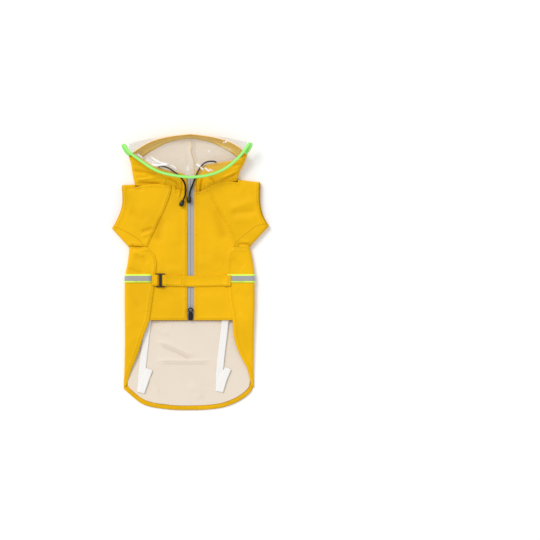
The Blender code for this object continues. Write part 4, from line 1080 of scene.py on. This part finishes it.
class RAINCOAT_OT_visor(bpy.types.Operator):
    """Clear visor and its lime binding"""

    bl_idname = "raincoat.visor"
    bl_label = "Visor"

    def execute(self, context):
        colours, _ = settings()
        visor = finer("visor", VISOR_LEVELS, VISOR_FINE)
        points = points_of(visor.data)
        # the creases are raised a little, and kept as the measure that paints white glints on the sheet
        crease_painted_light = height_of(points, GLINTS) / MM
        keep_measure(visor.data, "crease_painted_light", crease_painted_light)
        beyond = points[:, 1] / MM - smooth(BRIM)(points[:, 0] / MM)
        keep_measure(visor.data, "outside", ease(beyond / BRIM_WIDTH))
        points[:, 2] += np.minimum(crease_painted_light, 1.0) * GLINT_HEIGHT * MM
        move_points(visor.data, points)
        sew(visor, "visor", clear_sheet(colours))
        shape = bmesh.new()
        shape.verts.layers.float.new("run")
        shape.verts.layers.float.new("side")
        band(shape, BINDING, BINDING_STEPS)
        for points in SIDE_BANDS:
            band(shape, points, SIDE_BAND_STEPS)
        bmesh.ops.recalc_face_normals(shape, faces=shape.faces)
        binding = add_mesh("visor_binding_tape", shape)
        soften(binding.data, math.radians(60))
        sew(binding, "visor_binding", woven_edging(colours))
        return {"FINISHED"}


class RAINCOAT_OT_tapes(bpy.types.Operator):
    """Reflective bands at the waist and the shoulders, and the zip's tapes"""

    bl_idname = "raincoat.tapes"
    bl_label = "Tapes"

    def execute(self, context):
        colours, sizes = settings()
        for node, middle in BANDS.items():
            piece = finer(node, 2)
            drape(piece, sizes.fold_height)
            sew(piece, node, reflective_tape(node + "_tape", colours, middle * MM))
        material = zip_cloth(colours, ZIP_MIDDLE * MM)
        for node in ("zip_tape_left", "zip_tape_right"):
            tape = finer(node, 3)
            widen(tape)
            sew(tape, node, material)
        return {"FINISHED"}


class RAINCOAT_OT_belt(bpy.types.Operator):
    """Belt, its short tab and the slide between them"""

    bl_idname = "raincoat.belt"
    bl_label = "Belt"

    def execute(self, context):
        colours, _ = settings()
        strap = cloth_piece("belt_strap")
        points = points_of(strap.data)
        points[:, 0] += BELT_LAP * MM * ease((points[:, 0] / MM - BELT_LAP_FROM) / BELT_LAP_OVER)
        points[:, 2] += BELT_STEP * MM * ease((points[:, 0] / MM - BELT_STEP_FROM) / BELT_STEP_OVER)
        move_points(strap.data, points)
        cloth_piece("belt_tab")
        buckle = rounded("belt_buckle", 0.35)
        points = points_of(buckle.data)
        off = points[:, 0] - BAR_AT * MM
        bar = (np.abs(off) < BAR_HALF * MM) & (points[:, 2] > BAR_ABOVE * MM)
        points[bar, 0] = BAR_AT * MM + off[bar] * BAR_WIDER
        move_points(buckle.data, points)
        sew(buckle, "belt_buckle", moulded_plastic(colours))
        return {"FINISHED"}


class RAINCOAT_OT_fastener(bpy.types.Operator):
    """Zip slider and pull"""

    bl_idname = "raincoat.fastener"
    bl_label = "Zip slider"

    def execute(self, context):
        colours, _ = settings()
        material = dark_plating(colours)
        sew(rounded("zip_slider", 0.3), "zip_slider", material)
        outline = [*PULL_HALF, *((-x, y) for x, y in PULL_HALF[::-1])]
        pull = plate("zip_pull_tab", outline, PULL_HOLE, PULL_WALL, PULL_BEVEL)
        move_points(pull.data, points_of(pull.data) + np.array(PULL_SLOT_AT) * MM)
        sew(pull, "zip_pull", material, "pull")
        return {"FINISHED"}


class RAINCOAT_OT_cords(bpy.types.Operator):
    """Drawcords and their bell ends"""

    bl_idname = "raincoat.cords"
    bl_label = "Drawcords"

    def execute(self, context):
        colours, _ = settings()
        material = braided_cord(colours)
        plastic = moulded_plastic(colours)
        for label, points in CORDS.items():
            cord, route = rope("cord_" + label, points, CORD_RADIUS, CORD_STEPS, material)
            bell = finer("cord_end_" + label, 2)
            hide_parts("drawcord_" + label)
            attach(cord, BODY)
            sew(bell, "cord_end_" + label, plastic)
            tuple(route[0])
            float(lengths_along(route)[-1])
        return {"FINISHED"}


class RAINCOAT_OT_straps(bpy.types.Operator):
    """Elastic leg straps"""

    bl_idname = "raincoat.straps"
    bl_label = "Leg straps"

    def execute(self, context):
        colours, _ = settings()
        material = elastic_webbing(colours)
        for node in ("leg_strap_left", "leg_strap_right"):
            piece = finer(node, 3)
            measure_hems(piece)
            sew(piece, node, material)
        return {"FINISHED"}


class RAINCOAT_OT_pocket(bpy.types.Operator):
    """Pocket and flap on the outside of the back"""

    bl_idname = "raincoat.pocket"
    bl_label = "Pocket"

    def execute(self, context):
        for node in ("pocket", "pocket_flap"):
            cloth_piece(node, folds=False)
        return {"FINISHED"}


# The stage, in metres
FLOOR_HALF, FLOOR_HEIGHT, FLOOR_COLOUR = 30, -0.0004, (0.98, 0.98, 0.98)
SKY_STRENGTH = 0.72
KEY_STRENGTH, KEY_ANGLE, KEY_FROM = 1.55, math.radians(24), (-0.62, 0.68, 0.9)
CAMERA_AT, LENS = (0.159, 0.0042, 5.0), 166.7


class RAINCOAT_OT_stage(bpy.types.Operator):
    """Pale floor, soft light and the camera above"""

    bl_idname = "raincoat.stage"
    bl_label = "Stage"

    def execute(self, context):
        scene = context.scene
        shape = bmesh.new()
        bmesh.ops.create_grid(shape, x_segments=1, y_segments=1, size=FLOOR_HALF)
        bmesh.ops.translate(shape, vec=(0, 0, FLOOR_HEIGHT), verts=shape.verts)
        floor = add_mesh("floor", shape)
        matt = Finish("floor", base_color=FLOOR_COLOUR, roughness=0.9, specular_ior_level=0.0)
        wear(floor, matt.material)

        world = bpy.data.worlds.new("studio")
        world.use_nodes = True
        sky = world.node_tree.nodes["Background"].inputs
        sky["Color"].default_value = (1, 1, 1, 1)
        sky["Strength"].default_value = SKY_STRENGTH
        scene.world = world
        key = bpy.data.lights.new("key", "SUN")
        key.energy = KEY_STRENGTH
        key.angle = KEY_ANGLE
        lamp = add_object("key", key)
        lamp.rotation_euler = (-Vector(KEY_FROM)).to_track_quat("-Z", "Y").to_euler()

        camera = bpy.data.cameras.new("camera")
        camera.lens = LENS
        camera.sensor_width = 36
        camera.clip_end = 100
        viewer = add_object("camera", camera)
        viewer.location = CAMERA_AT
        scene.camera = viewer
        scene.view_settings.view_transform = "Standard"
        return {"FINISHED"}


OPERATORS = (
    RAINCOAT_OT_stage, RAINCOAT_OT_cords, RAINCOAT_OT_body, RAINCOAT_OT_fronts, RAINCOAT_OT_sleeves,
    RAINCOAT_OT_hood, RAINCOAT_OT_lining, RAINCOAT_OT_visor, RAINCOAT_OT_tapes, RAINCOAT_OT_belt,
    RAINCOAT_OT_fastener, RAINCOAT_OT_straps, RAINCOAT_OT_pocket,
)


class RAINCOAT_PT_panel(bpy.types.Panel):
    """The raincoat's settings and pieces"""

    bl_idname = "RAINCOAT_PT_panel"
    bl_label = "Raincoat"
    bl_space_type = "VIEW_3D"
    bl_region_type = "UI"
    bl_category = "Raincoat"

    def draw(self, context):
        for group in (context.scene.raincoat_colours, context.scene.raincoat_sizes):
            for name in group.__annotations__:
                self.layout.prop(group, name)
        for operator in OPERATORS:
            self.layout.operator(operator.bl_idname)


CLASSES = (RaincoatColours, RaincoatSizes, *OPERATORS, RAINCOAT_PT_panel)


def register():
    for item in CLASSES:
        bpy.utils.register_class(item)
    bpy.types.Scene.raincoat_colours = PointerProperty(type=RaincoatColours)
    bpy.types.Scene.raincoat_sizes = PointerProperty(type=RaincoatSizes)


def unregister():
    del bpy.types.Scene.raincoat_colours
    del bpy.types.Scene.raincoat_sizes
    for item in reversed(CLASSES):
        bpy.utils.unregister_class(item)


def main():
    register()
    for operator in OPERATORS:
        group, name = operator.bl_idname.split(".")
        getattr(getattr(bpy.ops, group), name)()


if __name__ == "__main__":
    main()
